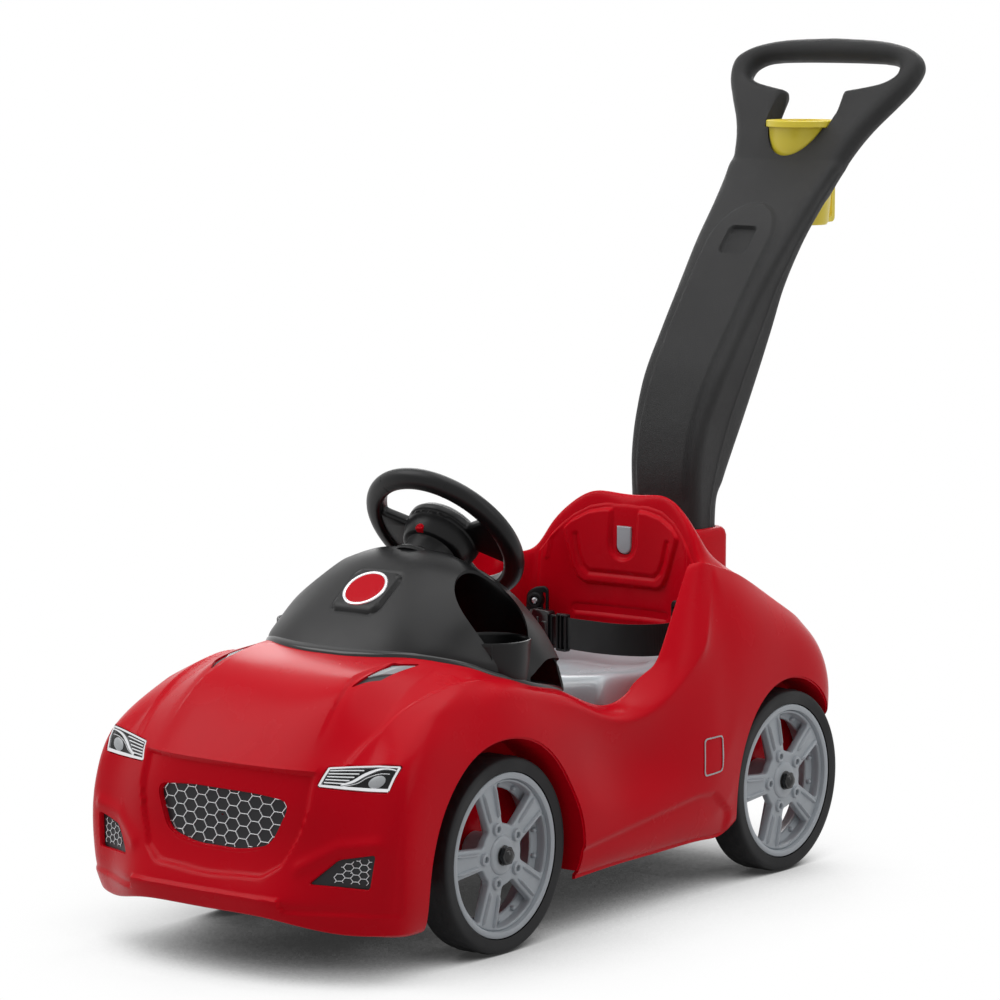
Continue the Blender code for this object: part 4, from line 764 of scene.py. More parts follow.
def honeycomb(outline, pitch, width, depth, rise):
    """Thin raised hexagons over the part of the nose inside an outline of (x, z) points."""
    side, stretch = pitch / math.sqrt(3), 1.3
    hexagon = [(math.cos(TAU * k / 6), math.sin(TAU * k / 6)) for k in range(6)]
    zs = [p[1] for p in outline]
    middle = sum(p[0] for p in outline) / len(outline)
    edges = set()
    for i in range(-16, 17):
        for j in range(-14, 15):
            cx = i * side * 1.5 * stretch + (middle if abs(middle) > 0.02 else 0)
            cz = (min(zs) + max(zs)) / 2 + (j + 0.5 * (i % 2)) * pitch
            corners = [(round(cx + side * stretch * c, 5), round(cz + side * s, 5)) for c, s in hexagon]
            edges.update((min(a, b), max(a, b)) for a, b in zip(corners, corners[1:] + corners[:1]))
    strips = []
    for a, b in sorted(edges):
        along = Vector((b[0] - a[0], 0, b[1] - a[1]))
        if along.length < 0.001:
            continue
        samples = [k / 8 for k in range(9) if inside((a[0] + along.x * k / 8, a[1] + along.z * k / 8), outline)]
        if len(samples) < 2:
            continue
        out = Vector((along.z, 0, -along.x)).normalized() * width / 2
        rows = []
        lift = Vector((0, -rise, 0))
        for t in (samples[0], (samples[0] + samples[-1]) / 2, samples[-1]):
            place = front_place(a[0] + along.x * t, a[1] + along.z * t, depth)
            rows.append([place - out, place - out * 0.6 + lift, place + out * 0.6 + lift, place + out])
        strips.append(grid_mesh("edge", rows, closed_columns=True))
    return merged(*strips)


def nose_panel(outline, depth, reach):
    """The flat black panel behind an opening in the nose, given by (x, z) points."""
    centre = (sum(p[0] for p in outline) / len(outline), sum(p[1] for p in outline) / len(outline))
    rows = []
    for t in (0.02, 0.25, 0.5, 0.75, 0.92, reach, reach):
        ring = []
        for x, z in outline:
            place = front_place(centre[0] + (x - centre[0]) * t, centre[1] + (z - centre[1]) * t, depth)
            ring.append(place + Vector((0, 0.003 if len(rows) == 6 else 0, 0)))
        rows.append(ring)
    return tidy(grid_mesh("panel", rows, closed_columns=True))


FOG_MESH = mm([(140, 108), (150, 127), (172, 133.5), (180, 133), (177, 107)])
grille_flat = [(p.x, p.z) for p in lines["grille"]]
piece("grille_panel", nose_panel(grille_flat, 0.0062, 1.05), DARK, ["grille"])
piece("grille_honeycomb", honeycomb(grille_flat, 0.0128, 0.0010, 0.0062, 0.0012), SILVER, angle=60)
for side, label in SIDES:
    flat = [(p.x, p.z) for p in lines["fog_grille_" + label]]
    piece("fog_panel_" + label, nose_panel(flat, 0.0058, 1.16), DARK, ["fog_grille_" + label])
    mesh_area = [(side * x, z) for x, z in FOG_MESH]
    piece("fog_honeycomb_" + label, honeycomb(mesh_area, 0.0070, 0.0007, 0.0056, 0.0008), SILVER, angle=60)
    corners = [(side * x, y, z) for x, y, z in VENT]
    vent = quad_patch(corners, -0.0060, -0.0026, (-0.03, 1.03), (-0.05, 1.05), (16, 4))
    piece("vent_panel_" + label, vent, DARK, ["hood_vent_" + label])
    slats = []
    for shift in [0.055 * k for k in range(11)]:
        path = [(0.36 + shift, 0.04), (0.38 + shift, 0.5), (0.40 + shift, 0.96)]
        slats.append(quad_strip(corners, path, 0.0016, -0.0012, -0.005))
    piece("vent_slats_" + label, merged(*slats), BLANK, angle=60)


# Wheels
def plate(loops, thickness, bevel, rounds):
    """Flat outlines in the XY plane, the first the outer one and the rest holes, as a plate with round edges."""
    flat = bpy.data.curves.new("plate", "CURVE")
    flat.dimensions = "2D"
    flat.fill_mode = "BOTH"
    flat.extrude = thickness / 2 - bevel
    flat.bevel_depth = bevel
    flat.bevel_resolution = rounds
    flat.offset = -bevel
    for points in loops:
        spline = flat.splines.new("POLY")
        spline.points.add(len(points) - 1)
        for knot, (x, y) in zip(spline.points, points):
            knot.co = (x, y, 0, 1)
        spline.use_cyclic_u = True
    return tidy(applied(temporary(flat)))


def flat_rounded(corners, radius, step=0.002):
    line = smooth_outline([(x, y, 0) for x, y in corners], radius, step)
    return [(p.x, p.y) for p in line]


def oblong(half_x, half_y, radius, step=0.002):
    return flat_rounded([(half_x, half_y), (-half_x, half_y), (-half_x, -half_y), (half_x, -half_y)], radius, step)


def window(number):
    middle = TAU * (number + 0.5) / 5
    corners = []
    for radius, half_spoke in ((0.0765, 0.0155), (0.0335, 0.0115)):
        reach = math.pi / 5 - math.asin(half_spoke / radius)
        span = [reach * k / 4 for k in range(-4, 5)] if radius > 0.05 else [reach, 0, -reach]
        corners += [polar(radius, middle + t) for t in span]
    return flat_rounded(corners, 0.004)


def ridge(start, end, side):
    """A rounded bar along a spoke, slightly splayed."""
    rings = []
    for k in range(13):
        t = k / 12
        x = start + (end - start) * t
        y = side * (0.0068 + 0.0030 * t)
        lift = math.sin(math.pi * min(1, max(0.0, min(t, 1 - t) * 7)) / 2)
        half = 0.0024 * (0.55 + 0.45 * lift)
        ring = []
        for a in [TAU * j / 14 for j in range(14)]:
            rise = (0.0060 * lift + 0.0006) * max(0, math.sin(a)) - 0.002 * (math.sin(a) < 0)
            ring.append((x, y + half * math.cos(a), 0.0125 + rise))
        rings.append(ring)
    return loft("ridge", rings)


rim_barrel = turned(
    mm([
        (87.5, 18), (86.8, 19.6), (85.2, 20.2), (82.2, 20), (80.6, 19.2), (80, 17.5), (80, 15), (78.8, 13),
        (77.2, 11.8), (76.5, 9), (76.2, 4), (74, 2), (70, 1), (69, -0.5), (70, -3), (76, -6), (78.5, -15),
        (80, -20), (87.5, -20),
    ]), 128, looped=True)
rim_outline = [polar(0.0795, TAU * k / 120) for k in range(120)]
rim_face = moved(plate([rim_outline] + [window(k) for k in range(5)], 0.0100, 0.0022, 2),
    Matrix.Translation((0, 0, 0.0105)))
hub_disc = turned(mm([(0, 18), (17, 18), (19.5, 17.4), (21, 15.8), (21.8, 11), (21, -21.5), (0, -21.5)]), 64)
lug = turned(mm([
    (3.2, 16.2), (3.6, 18.6), (4.8, 19), (6.2, 18.4), (7, 16.2), (7.2, 12), (0, 12), (0, 15.8), (2.8, 15.8),
]), 28)
stud = turned(mm([(0, 6.4), (1.4, 6.1), (2.5, 5), (2.8, 3), (2.8, 1), (0, 1)]), 16)
rib = box((0.022, -0.0014, -0.004), (0.070, 0.0014, 0.008), 0.0008, 2)
trims = []
for k in range(5):
    spin = Matrix.Rotation(TAU * k / 5, 4, "Z")
    for side in (-1, 1):
        trims.append(moved(ridge(0.0385, 0.0775, side), spin))
        around = Matrix.Rotation(TAU * (k + 0.5) / 5 + side * 0.19, 4, "Z")
        trims.append(moved(stud, around @ Matrix.Translation((0.0728, 0, 0))))
    trims.append(moved(lug, spin @ Matrix.Translation((0.0300, 0, 0))))
    trims.append(moved(rib, spin))
rim_mesh = merged(rim_barrel, rim_face, hub_disc, *trims)


def tyre_mesh():
    """A tyre with a bulged section, a groove in each wall and blocks round the tread."""
    around, half = 216, 0.0225
    profile = []
    for k in range(33):
        t = -1 + k / 16
        z = half * math.sin(math.pi / 2 * t) if abs(t) < 0.97 else half * t
        bulge = math.sqrt(max(0, 1 - abs(t) ** 5.5))
        profile.append((0.0880 + 0.0154 * bulge, z * (0.90 + 0.10 * bulge)))
    rows = []
    for k in range(around):
        row = []
        for r, z in profile:
            if 0.0935 < r < 0.0962:
                r -= 0.0009
            middle_block = abs(z) < 0.0042 and k % 6 < 3
            side_block = 0.0075 < abs(z) < 0.0150 and (k + (3 if z > 0 else 0)) % 6 < 3
            tread = 0.0006 if middle_block or side_block else 0
            row.append((*polar(min(r + tread, TYRE_RADIUS), TAU * k / around), z))
        rows.append(row)
    return tidy(grid_mesh("tyre", rows, closed_rows=True))


tyre = tyre_mesh()
cap_nut = plate([flat_rounded([polar(0.0104, TAU * k / 6) for k in range(6)], 0.0015, 0.001)], 0.0070, 0.0010, 2)
cap = merged(
    turned(mm([(0, 29.2), (3, 28.9), (5.6, 27.6), (7.2, 25.2), (7.8, 23), (7.8, 18.5), (0, 18.5)]), 40),
    moved(cap_nut, Matrix.Translation((0, 0, 0.0215))),
    turned(mm([(9, 19.2), (10.4, 19), (10.8, 18.4), (0, 18.4)]), 40))
for end, y in (("front", 0), ("rear", WHEELBASE)):
    for side, label in SIDES:
        tag = end + "_" + label
        stance = Matrix(((0, 0, side, side * WHEEL_CENTRE_X), (-1, 0, 0, y), (0, -side, 0, TYRE_RADIUS), (0, 0, 0, 1)))
        piece("rim_detail_" + tag, rim_mesh, GREY, ["rim_" + tag], matrix=stance, body="wheel_" + tag)
        piece("tyre_detail_" + tag, tyre, RUBBER, ["tyre_" + tag], angle=28, matrix=stance, body="wheel_" + tag)
        piece("cap_detail_" + tag, cap, GLOSS, ["axle_cap_" + tag], angle=30, matrix=stance)


# Dash cowl
DOME = mm([
    [(0, -60, 306.5), (0, -37, 330), (0, 3, 361), (0, 45, 388), (0, 78, 399.5), (0, 88, 398.5)],
    [(35, -58, 307), (35, -35, 330), (36, 4, 360), (36, 45, 387), (36, 78, 398), (36, 88, 396.5)],
    [(72, -47, 309), (70, -28, 329), (69, 8, 356), (68, 46, 379), (68, 78, 389), (68, 93, 386)],
    [(103, -27, 311), (101, -12, 325), (99, 15, 346), (98, 48, 367), (98, 78, 375), (98, 112, 363)],
    [(128, 1, 306), (126, 11, 317), (123, 28, 334), (121, 54, 351), (120, 81, 358), (119, 122, 341)],
    [(147, 36, 294), (146, 43, 302), (143, 53, 313), (141, 68, 328), (139, 88, 335), (136, 130, 318)],
    [(158, 78, 276), (158, 84, 280), (157, 92, 284), (156, 101, 288), (154, 115, 292), (150, 138, 289)],
])


def hood_height(x, y):
    hit = surface.ray_cast(Vector((x, y, 0.45)), Vector((0, 0, -1)))[0]
    return hit.z if hit else 0.252


def smooth_sheet(rows, levels):
    """Rows of control points fitted so that the smooth sheet runs through them, made fine."""
    target = np.array(rows, float)
    cage = target.copy()
    for _ in range(4):
        small = points_of(modified(grid_mesh("cage", cage), subsurf(1)))
        cage += 0.9 * (target - small[:target.shape[0] * target.shape[1]].reshape(target.shape))
    return modified(grid_mesh("cage", cage), subsurf(levels))


dome_rows = []
for row in DOME:
    base_x, base_y, _ = row[0]
    rim_x, rim_y, rim_z = row[-1]
    low = max(0.252, hood_height(rim_x, rim_y + 0.01) - 0.001)
    back = 0.30 * (rim_z - low)
    dome_rows.append([
        (base_x, base_y - 0.001, hood_height(base_x, base_y) - 0.001), *row, (rim_x, rim_y + 0.0015, rim_z - 0.006),
        (rim_x, rim_y + back * 0.5, (rim_z + low) / 2), (rim_x, rim_y + back, low)])
dome_rows = [[(-x, y, z) for x, y, z in ring] for ring in reversed(dome_rows[1:])] + dome_rows
dash_outer = smooth_sheet(dome_rows, 3)
badge_axis = Vector((0, -0.55, 0.835)).normalized()
badge_turn = Matrix.Translation((0, 0.006, 0.3605)) @ aim(badge_axis)


def square_gap(x, y, half, corner):
    """The distance of a place to a square with round corners."""
    dx, dy = abs(x) - half + corner, abs(y) - half + corner
    return math.hypot(max(dx, 0), max(dy, 0)) + min(max(dx, dy), 0) - corner


def badge_lift(place):
    """How far a place of the dash rises: sunk in a square round the badge's centre, with a raised edge about it."""
    local = badge_turn.inverted() @ Vector(place)
    gap = square_gap(local.x, local.y, 0.0300, 0.009)
    if abs(local.z) > 0.03:
        return 0.0
    return -0.0030 * (1 - min(1, max(0, (gap + 0.0026) / 0.0026))) + 0.0009 * math.exp(-((gap - 0.0008) / 0.0016) ** 2)


dash_outer = modified(dash_outer, subsurf(1))
dash_places, dash_normals = points_of(dash_outer), normals_of(dash_outer)
flip = -1 if dash_normals[np.argmax(dash_places[:, 2])][2] < 0 else 1
for i, p in enumerate(dash_places):
    if abs(p[0]) < 0.05 and -0.05 < p[1] < 0.06:
        dash_places[i] += flip * dash_normals[i] * badge_lift(p)
placed(dash_outer, dash_places)
dash_shell = modified(dash_outer, ("SOLIDIFY", {"thickness": 0.003, "offset": -1 if flip > 0 else 1, "use_rim": True}))
wells = [cylinder(0.0390, (side * POCKET_X, POCKET_Y, 0.268), (side * POCKET_X, POCKET_Y, 0.45), 96)
    for side in (-1, 1)]
dash_shell = carved(dash_shell, merged(*wells))
cup_wall = turned(mm([
    (0, 265.5), (39.8, 265.5), (41.2, 267), (41.6, 300), (42, 314), (42.4, 316.4), (41.8, 318), (40.3, 318.4),
    (39.2, 317.2), (38.9, 315), (38.4, 272), (37, 269.2), (34, 268.2), (0, 268.2),
]), 96)
pockets = []
for side in (-1, 1):
    at_pocket = Matrix.Translation((side * POCKET_X, POCKET_Y, 0))
    seam = box((-0.0007, -0.0431, 0.272), (0.0007, -0.0405, 0.3165), 0.0004, 1)
    pockets += [moved(cup_wall, at_pocket), moved(seam, at_pocket @ Matrix.Rotation(side * math.radians(38), 4, "Z"))]
rear_line = [Vector((ring[-4][0], ring[-4][1] + 0.004, 0)) for ring in (dome_rows[0], dome_rows[-1])]
base_points = [(ring[1][0], ring[1][1]) for ring in dome_rows]
base_points = [(rear_line[0].x, rear_line[0].y)] + base_points + [(rear_line[1].x, rear_line[1].y)]
fine_line = arc_path(base_points, 14)
FLANGE_PROFILE = mm([(-4, 6), (-1, 5.2), (1.8, 4.6), (4.6, 3.8), (6.6, 2), (7, -1.5)])
flange_rows = []
for i, (px, py) in enumerate(fine_line):
    q, r = fine_line[max(i - 1, 0)], fine_line[min(i + 1, len(fine_line) - 1)]
    out = Vector((r[1] - q[1], q[0] - r[0], 0)).normalized()
    row = []
    for reach, height in FLANGE_PROFILE:
        x, y = px + out.x * reach, py + out.y * reach
        row.append((x, y, hood_height(x, y) + height))
    flange_rows.append(row)
heights = np.array(flange_rows, float)
for _ in range(12):
    heights[1:-1, :, 2] = 0.5 * heights[1:-1, :, 2] + 0.25 * (heights[:-2, :, 2] + heights[2:, :, 2])
flange = modified(grid_mesh("flange", heights), subsurf(1))
piece("dash_shell", dash_shell, SATIN, ["dash_cowl"], angle=38)
piece("dash_pockets", merged(*pockets), SATIN, angle=45)
piece("dash_flange", flange, GLOSS, angle=60)
disc_edge = turned(mm([(22.2, 0.2), (22.8, 1.1), (24, 1.6), (25.4, 1.3), (26, 0.2), (26, -0.6), (22.2, -0.6)]), 96,
    looped=True)
disc = turned([(0.0040 * k, 0.0008) for k in range(6)] + mm([(22.4, 0.6), (22.4, -0.4), (0, -0.4)]), 96)
dash_surface = tree_of(dash_shell)


def on_dash(x, y, z):
    hit = dash_surface.ray_cast(badge_turn @ Vector((x, y, 0.06)), -badge_axis)[0]
    return hit + badge_axis * (z + 0.0004)


piece("dash_plate_edge", mapped(disc_edge, on_dash), SILVER, ["dash_badge"])
piece("dash_plate", mapped(disc, on_dash), RED)
for side, label in SIDES:
    frame_plate = plate([oblong(0.0195, 0.0215, 0.006), oblong(0.0178, 0.0198, 0.005)], 0.0008, 0.0002, 1)

    def on_flank(x, y, z):
        place, normal = on_skin((side * 0.24, 0.360 + side * x, 0.160 + y))
        normal = normal if normal.x * side > 0 else -normal
        return place + normal * (0.0009 + z)
    piece("flank_plate_" + label, mapped(frame_plate, on_flank), BLANK, ["flank_badge_" + label])


# Steering
column = Vector((0, math.cos(math.radians(40)), math.sin(math.radians(40))))
steering_stance = Matrix.Translation((0, 0.139, 0.4124)) @ Matrix(
    ((-1, 0, 0, 0), (0, -column.z, column.y, 0), (0, column.y, column.z, 0), (0, 0, 0, 1)))


def in_hand(mesh):
    return moved(mesh, steering_stance)


grip = mm([(75.2, -6.2), (76, -8.8), (78, -10.1), (80.6, -10.4)])
grip += [(0.0845 + 0.0112 * math.cos(math.radians(t)), 0.0104 * math.sin(math.radians(t))) for t in range(-84, 88, 12)]
grip += mm([(80.6, 10.2), (78, 9.8), (75.8, 8.2), (75, 5.6)])
ring = turned(grip, 144, looped=True)
cut_line = mm([
    (75.3, -6.4), (76.2, -9.2), (78.6, -10.55), (86, -10.5), (93, -7.2), (95.5, -3), (94, 0), (76, 0),
])
seams = [loft("seam", [[(*polar(r, math.radians(angle + half)), h) for r, h in cut_line] for half in (-0.32, 0.32)])
         for angle in (62, 118, 205, 335)]


def sector(start, end, inner):
    span = [math.radians(start + (end - start) * k / 10) for k in range(11)]
    return flat_rounded([polar(0.0752, t) for t in span] + [polar(inner, t) for t in reversed(span)], 0.007)


web_outline = [polar(0.079, TAU * k / 120) for k in range(120)]
web_holes = [sector(24, 156, 0.0435), sector(-76, -26, 0.0425), sector(-154, -104, 0.0425)]
web = plate([web_outline, *web_holes], 0.0120, 0.0040, 4)
web = carved(moved(web, Matrix.Translation((0, 0, -0.0010))), cylinder(0.0226, (0, 0, 0.0013), (0, 0, 0.0200), 96))
pad = turned(mm([
    (22.5, 4), (22.8, 9.8), (24.5, 10.8), (34, 10), (39, 8.2), (41.5, 4.5), (42.5, 0), (42.5, -5), (41.6, -9),
    (39.5, -11.8), (36, -13.2), (0, -13.2), (0, 1.2), (22.3, 1.4),
]), 96)
spots = [polar(0.0470, math.radians(t)) for t in (60, 75, 90, 105, 120)]
pad = carved(pad, merged(*[cylinder(0.0060, (*spot, -0.03), (*spot, 0.003), 32) for spot in spots]))
drum = turned(mm([
    (0, -10), (41.8, -10), (41.2, -15), (39.2, -21.5), (37.2, -26.2), (35.8, -28.6), (34.4, -29.6), (31.6, -30),
    (30.2, -30.6), (29.8, -33), (29.6, -47), (28.5, -48), (6, -48), (6, -47), (0, -47),
]), 96)
wheel_mesh = merged(ring, *seams, web, pad, drum)
piece("steering_detail", in_hand(wheel_mesh), SATIN, ["steering_wheel"], body="steering")
lock = merged(box((-0.0050, 0.0300, -0.0300), (0.0050, 0.0378, -0.0200), 0.0012),
              box((-0.0026, 0.0370, -0.0275), (0.0026, 0.0384, -0.0225), 0.0005, 2))
piece("lock_detail", in_hand(lock), RED, ["column_lock"], body="steering")
horn = turned(mm([
    (0, 13.2), (9, 13.1), (10, 12.6), (10.6, 12), (17, 12.2), (20, 11.7), (21.6, 10.4), (22, 8.8), (22, 6), (0, 6),
]), 64)
piece("horn_detail", in_hand(horn), GLOSS, ["horn_button"], body="horn")
bezel = turned(mm([(6.4, -50.6), (30, -50.6), (35, -51), (36.8, -52.4), (37.4, -54.8), (37.4, -58), (6.4, -58)]), 64,
    looped=True)
piece("bezel_detail", in_hand(bezel), SATIN, ["column_bezel"])


# Seat and lap belt
SEAT_PATH = mm([
    (450, 252), (442, 247), (425, 244), (385, 240.5), (335, 240.5), (298, 244), (274, 243), (260, 230), (254, 200),
    (248, 160), (245, 125),
])
# one row of the seat: its x, how far its back end is pulled forward and how far it rises
SEAT_COLUMNS = mm([(0, 0, 0), (45, 2, 0), (85, 8, 4), (108, 18, 6), (118, 26, 2), (121, 26, -10)])
seat_rows = []
for x, back_pull, rise in SEAT_COLUMNS:
    row = []
    for number, (y, z) in enumerate(SEAT_PATH):
        pull = back_pull * max(0, 1 - number / 3)
        narrow = 1 - 0.16 * max(0, number - 7) / 3 - 0.06 * max(0, 2 - number)
        flare = 0.003 if x > 0.12 and number > 6 else 0
        row.append((x * narrow, y - pull + flare, max(0.211, z + rise) if 1 < number < 8 else z))
    seat_rows.append(row)
seat_rows.append([(x + 0.001, y + (0.004 if number > 6 else 0), max(0.2085, z - 0.024) if number < 8 else z)
                  for number, (x, y, z) in enumerate(seat_rows[-1])])
seat_rows = [[(-x, y, z) for x, y, z in row] for row in reversed(seat_rows[1:])] + seat_rows
seat_sheet = smooth_sheet(seat_rows, 3)
places, normals = points_of(seat_sheet), normals_of(seat_sheet)
turn_up = -1 if normals[np.argmin(np.abs(places[:, 0]) + np.abs(places[:, 1] - 0.36))][2] < 0 else 1
x, y, z = np.abs(places[:, 0]), places[:, 1], places[:, 2]
dish = smooth_step(y, 0.285, 0.300) * (1 - smooth_step(y, 0.415, 0.435)) * (1 - smooth_step(x, 0.078, 0.090))
groove = distance_to(np.stack([x, y, 0 * z], 1), mm([
    (0, 290, 0), (60, 290, 0), (78, 300, 0), (86, 330, 0), (82, 400, 0),
]))
groove = np.exp(-(groove / 0.0035) ** 2) * (z > 0.225)
apron = distance_to(np.stack([x, 0 * y, z], 1), mm([(0, 0, 212), (70, 0, 212), (80, 0, 200), (78, 0, 130)]))
apron = np.exp(-(apron / 0.0040) ** 2) * (y < 0.262) * (z < 0.222)
placed(seat_sheet, places + turn_up * normals * (-0.0022 * groove - 0.0012 * dish + 0.0016 * apron)[:, None])
seat_mesh = modified(seat_sheet, ("SOLIDIFY", {"thickness": 0.0034, "offset": -1 if turn_up > 0 else 1}))
piece("seat_detail", seat_mesh, SEAT, ["seat_pan"], angle=50)

WEBBING = material("webbing", (0.8, 0.8, 0.8), 0.82, Sheen_Weight=0.25, Specular_IOR_Level=0.2)
cloth = WEBBING.node_tree.nodes["Principled BSDF"]
place = node(WEBBING, "ShaderNodeTexCoord")
weave = node(WEBBING, "ShaderNodeMath", operation="MULTIPLY")
for socket, (way, scale, waver) in enumerate((("Z", 260, 0.6), ("X", 330, 0.8))):
    threads = node(WEBBING, "ShaderNodeTexWave", bands_direction=way, Scale=scale, Distortion=waver)
    wire(WEBBING, place, "Object", threads, "Vector")
    wire(WEBBING, threads, "Fac", weave, socket)
relief = node(WEBBING, "ShaderNodeBump", Strength=0.6, Distance=0.0004)
wire(WEBBING, weave, "Value", relief, "Height")
wire(WEBBING, relief, "Normal", cloth, "Normal")
tone = node(WEBBING, "ShaderNodeMix", data_type="RGBA", A=(0.006, 0.006, 0.006, 1), B=(0.022, 0.022, 0.023, 1))
wire(WEBBING, weave, "Value", tone, "Factor")
wire(WEBBING, tone, "Result", cloth, "Base Color")


def strap(path):
    """Webbing on edge along a path of (x, y) points, slightly waved, with sewn edges a little thicker."""
    line = arc_path(path, 12)
    rows = []
    for i, (px, py) in enumerate(line):
        a, b = line[max(i - 1, 0)], line[min(i + 1, len(line) - 1)]
        out = Vector((-(b[1] - a[1]), b[0] - a[0], 0)).normalized()
        sway = 0.0010 * math.sin(i * 0.21)
        front, behind = [], []
        for k in range(9):
            t = k / 8
            half = STRAP_THICKNESS / 2 * (1.0 if 0 < k < 8 else 0.6) * (1.12 if k in (1, 7) else 1.0)
            centre = Vector((px, py, STRAP_Z + STRAP_WIDTH * t)) + out * (sway * (t - 0.3))
            front.append(centre + out * half)
            behind.append(centre - out * half)
        rows.append(front + behind[::-1])
    return loft("strap", rows)


STRAP_Z, STRAP_WIDTH, STRAP_THICKNESS = 0.2520, 0.036, 0.0018
STRAP_LEFT = mm([(93, 439.7), (90, 420), (78, 402), (56, 391), (28, 388), (0, 390), (-25, 394), (-40, 396.5)])
STRAP_RIGHT = mm([(-93, 439.7), (-93, 425), (-88, 413), (-81, 407), (-74.5, 403.8)])
piece("strap_detail_left", strap(STRAP_LEFT), WEBBING, ["belt_strap_left"])
piece("strap_detail_right", strap(STRAP_RIGHT), WEBBING, ["belt_strap_right"])
belt_turn = Matrix.Translation((-0.0565, 0.4000, STRAP_Z + 0.018)) @ Matrix.Rotation(math.radians(-10), 4, "Z")
upright = Matrix(((1, 0, 0, 0), (0, 0, -1, 0), (0, 1, 0, 0), (0, 0, 0, 1)))


def framed(half_x, half_z, thick, hole_x, hole_z, radius):
    loops = [oblong(half_x, half_z, radius, 0.001)]
    if hole_x:
        loops.append(oblong(hole_x, hole_z, 0.0012, 0.001))
    return moved(plate(loops, thick, 0.0011, 2), upright)


buckle = merged(moved(framed(0.0138, 0.0230, 0.0120, 0, 0, 0.006), Matrix.Translation((-0.0042, 0, 0))),
                moved(framed(0.0020, 0.0150, 0.0140, 0, 0, 0.0012), Matrix.Translation((-0.0080, 0, 0))),
                moved(framed(0.0052, 0.0110, 0.0134, 0, 0, 0.003), Matrix.Translation((0.0020, 0, 0))))
tongue = moved(framed(0.0062, 0.0190, 0.0060, 0.0026, 0.0172, 0.003), Matrix.Translation((0.0148, 0, 0)))
adjuster = merged(framed(0.0085, 0.0215, 0.0078, 0.0052, 0.0188, 0.003), framed(0.0011, 0.0200, 0.0094, 0, 0, 0.0006))
piece("buckle_detail", moved(buckle, belt_turn), GLOSS, ["buckle_body"], angle=30)
piece("tongue_detail", moved(tongue, belt_turn), SATIN, ["buckle_tongue"], angle=30)
adjuster_turn = Matrix.Translation((-0.0285, 0.3946, STRAP_Z + 0.018)) @ Matrix.Rotation(math.radians(-9.4), 4, "Z")
piece("adjuster_detail", moved(adjuster, adjuster_turn), SATIN, ["belt_adjuster"], angle=30)
for side, label in SIDES:
    outline = mm([(-12, -40), (4, -42), (13.5, -30), (15, -10), (13.5, 6), (4, 12.5), (-8, 14), (-12.5, 10)])
    slot = flat_rounded(mm([(-9, -30), (-5.5, -30), (-5.5, 6), (-9, 6)]), 0.0012, 0.001)
    bracket = plate([flat_rounded(outline, 0.007, 0.001), slot], 0.0050, 0.0016, 3)
    turned_up = Matrix.Translation((side * 0.0985, 0.4420, 0.2985)) @ Matrix.Rotation(side * math.radians(-18), 4, "Z")
    turned_up = turned_up @ Matrix.Diagonal((side, 1, 1, 1)) @ upright
    boss = turned(mm([(4.2, 2), (5, 4.4), (6.8, 4.6), (8.6, 4), (9.6, 2.2), (9.8, -6), (0, -6), (0, 1.4)]), 40)
    screw = turned(mm([(0, 4), (2.2, 4), (3.4, 3.4), (4, 2.2), (4, 1), (0, 1)]), 28)
    for half_x, half_y, low in ((0.0024, 0.0005, 0.0028), (0.0005, 0.0024, 0.0029)):
        screw = carved(screw, box((-half_x, -half_y, low), (half_x, half_y, 0.0060)), solver="MANIFOLD")
    at_boss = turned_up @ Matrix.Translation((0.0035, -0.0030, 0.0015))
    anchor = merged(moved(bracket, turned_up), moved(boss, at_boss))
    piece("anchor_detail_" + label, anchor, SATIN, ["anchor_plate_" + label], angle=30)
    piece("screw_detail_" + label, moved(screw, at_boss), STEEL, ["anchor_screw_" + label], angle=30)


# Push handle, latch and cup
BLADE = mm([
    (206, 47.7, 547, 598), (300, 47.7, 547, 598), (400, 47.7, 547, 598), (430, 48, 546, 612), (460, 49, 547, 628),
    (500, 51.3, 557, 649), (550, 56, 582, 671), (600, 58, 618, 696), (650, 60.5, 657, 719), (700, 65.4, 700, 750),
    (740, 69, 739, 785), (770, 73.5, 769, 813), (790, 77.5, 788.5, 829), (800, 74, 800, 832),
])


def loop_gap(points, loops):
    """The distance of 2-D points to the nearest of several closed outlines."""
    return np.min([distance_to(points, loop + loop[:1]) for loop in loops], axis=0)


def evenly(loop, step):
    dense = []
    for p, q in zip(loop, loop[1:] + loop[:1]):
        count = max(1, round(math.dist(p, q) / step))
        dense += [(p[0] + (q[0] - p[0]) * k / count, p[1] + (q[1] - p[1]) * k / count) for k in range(count)]
    return dense


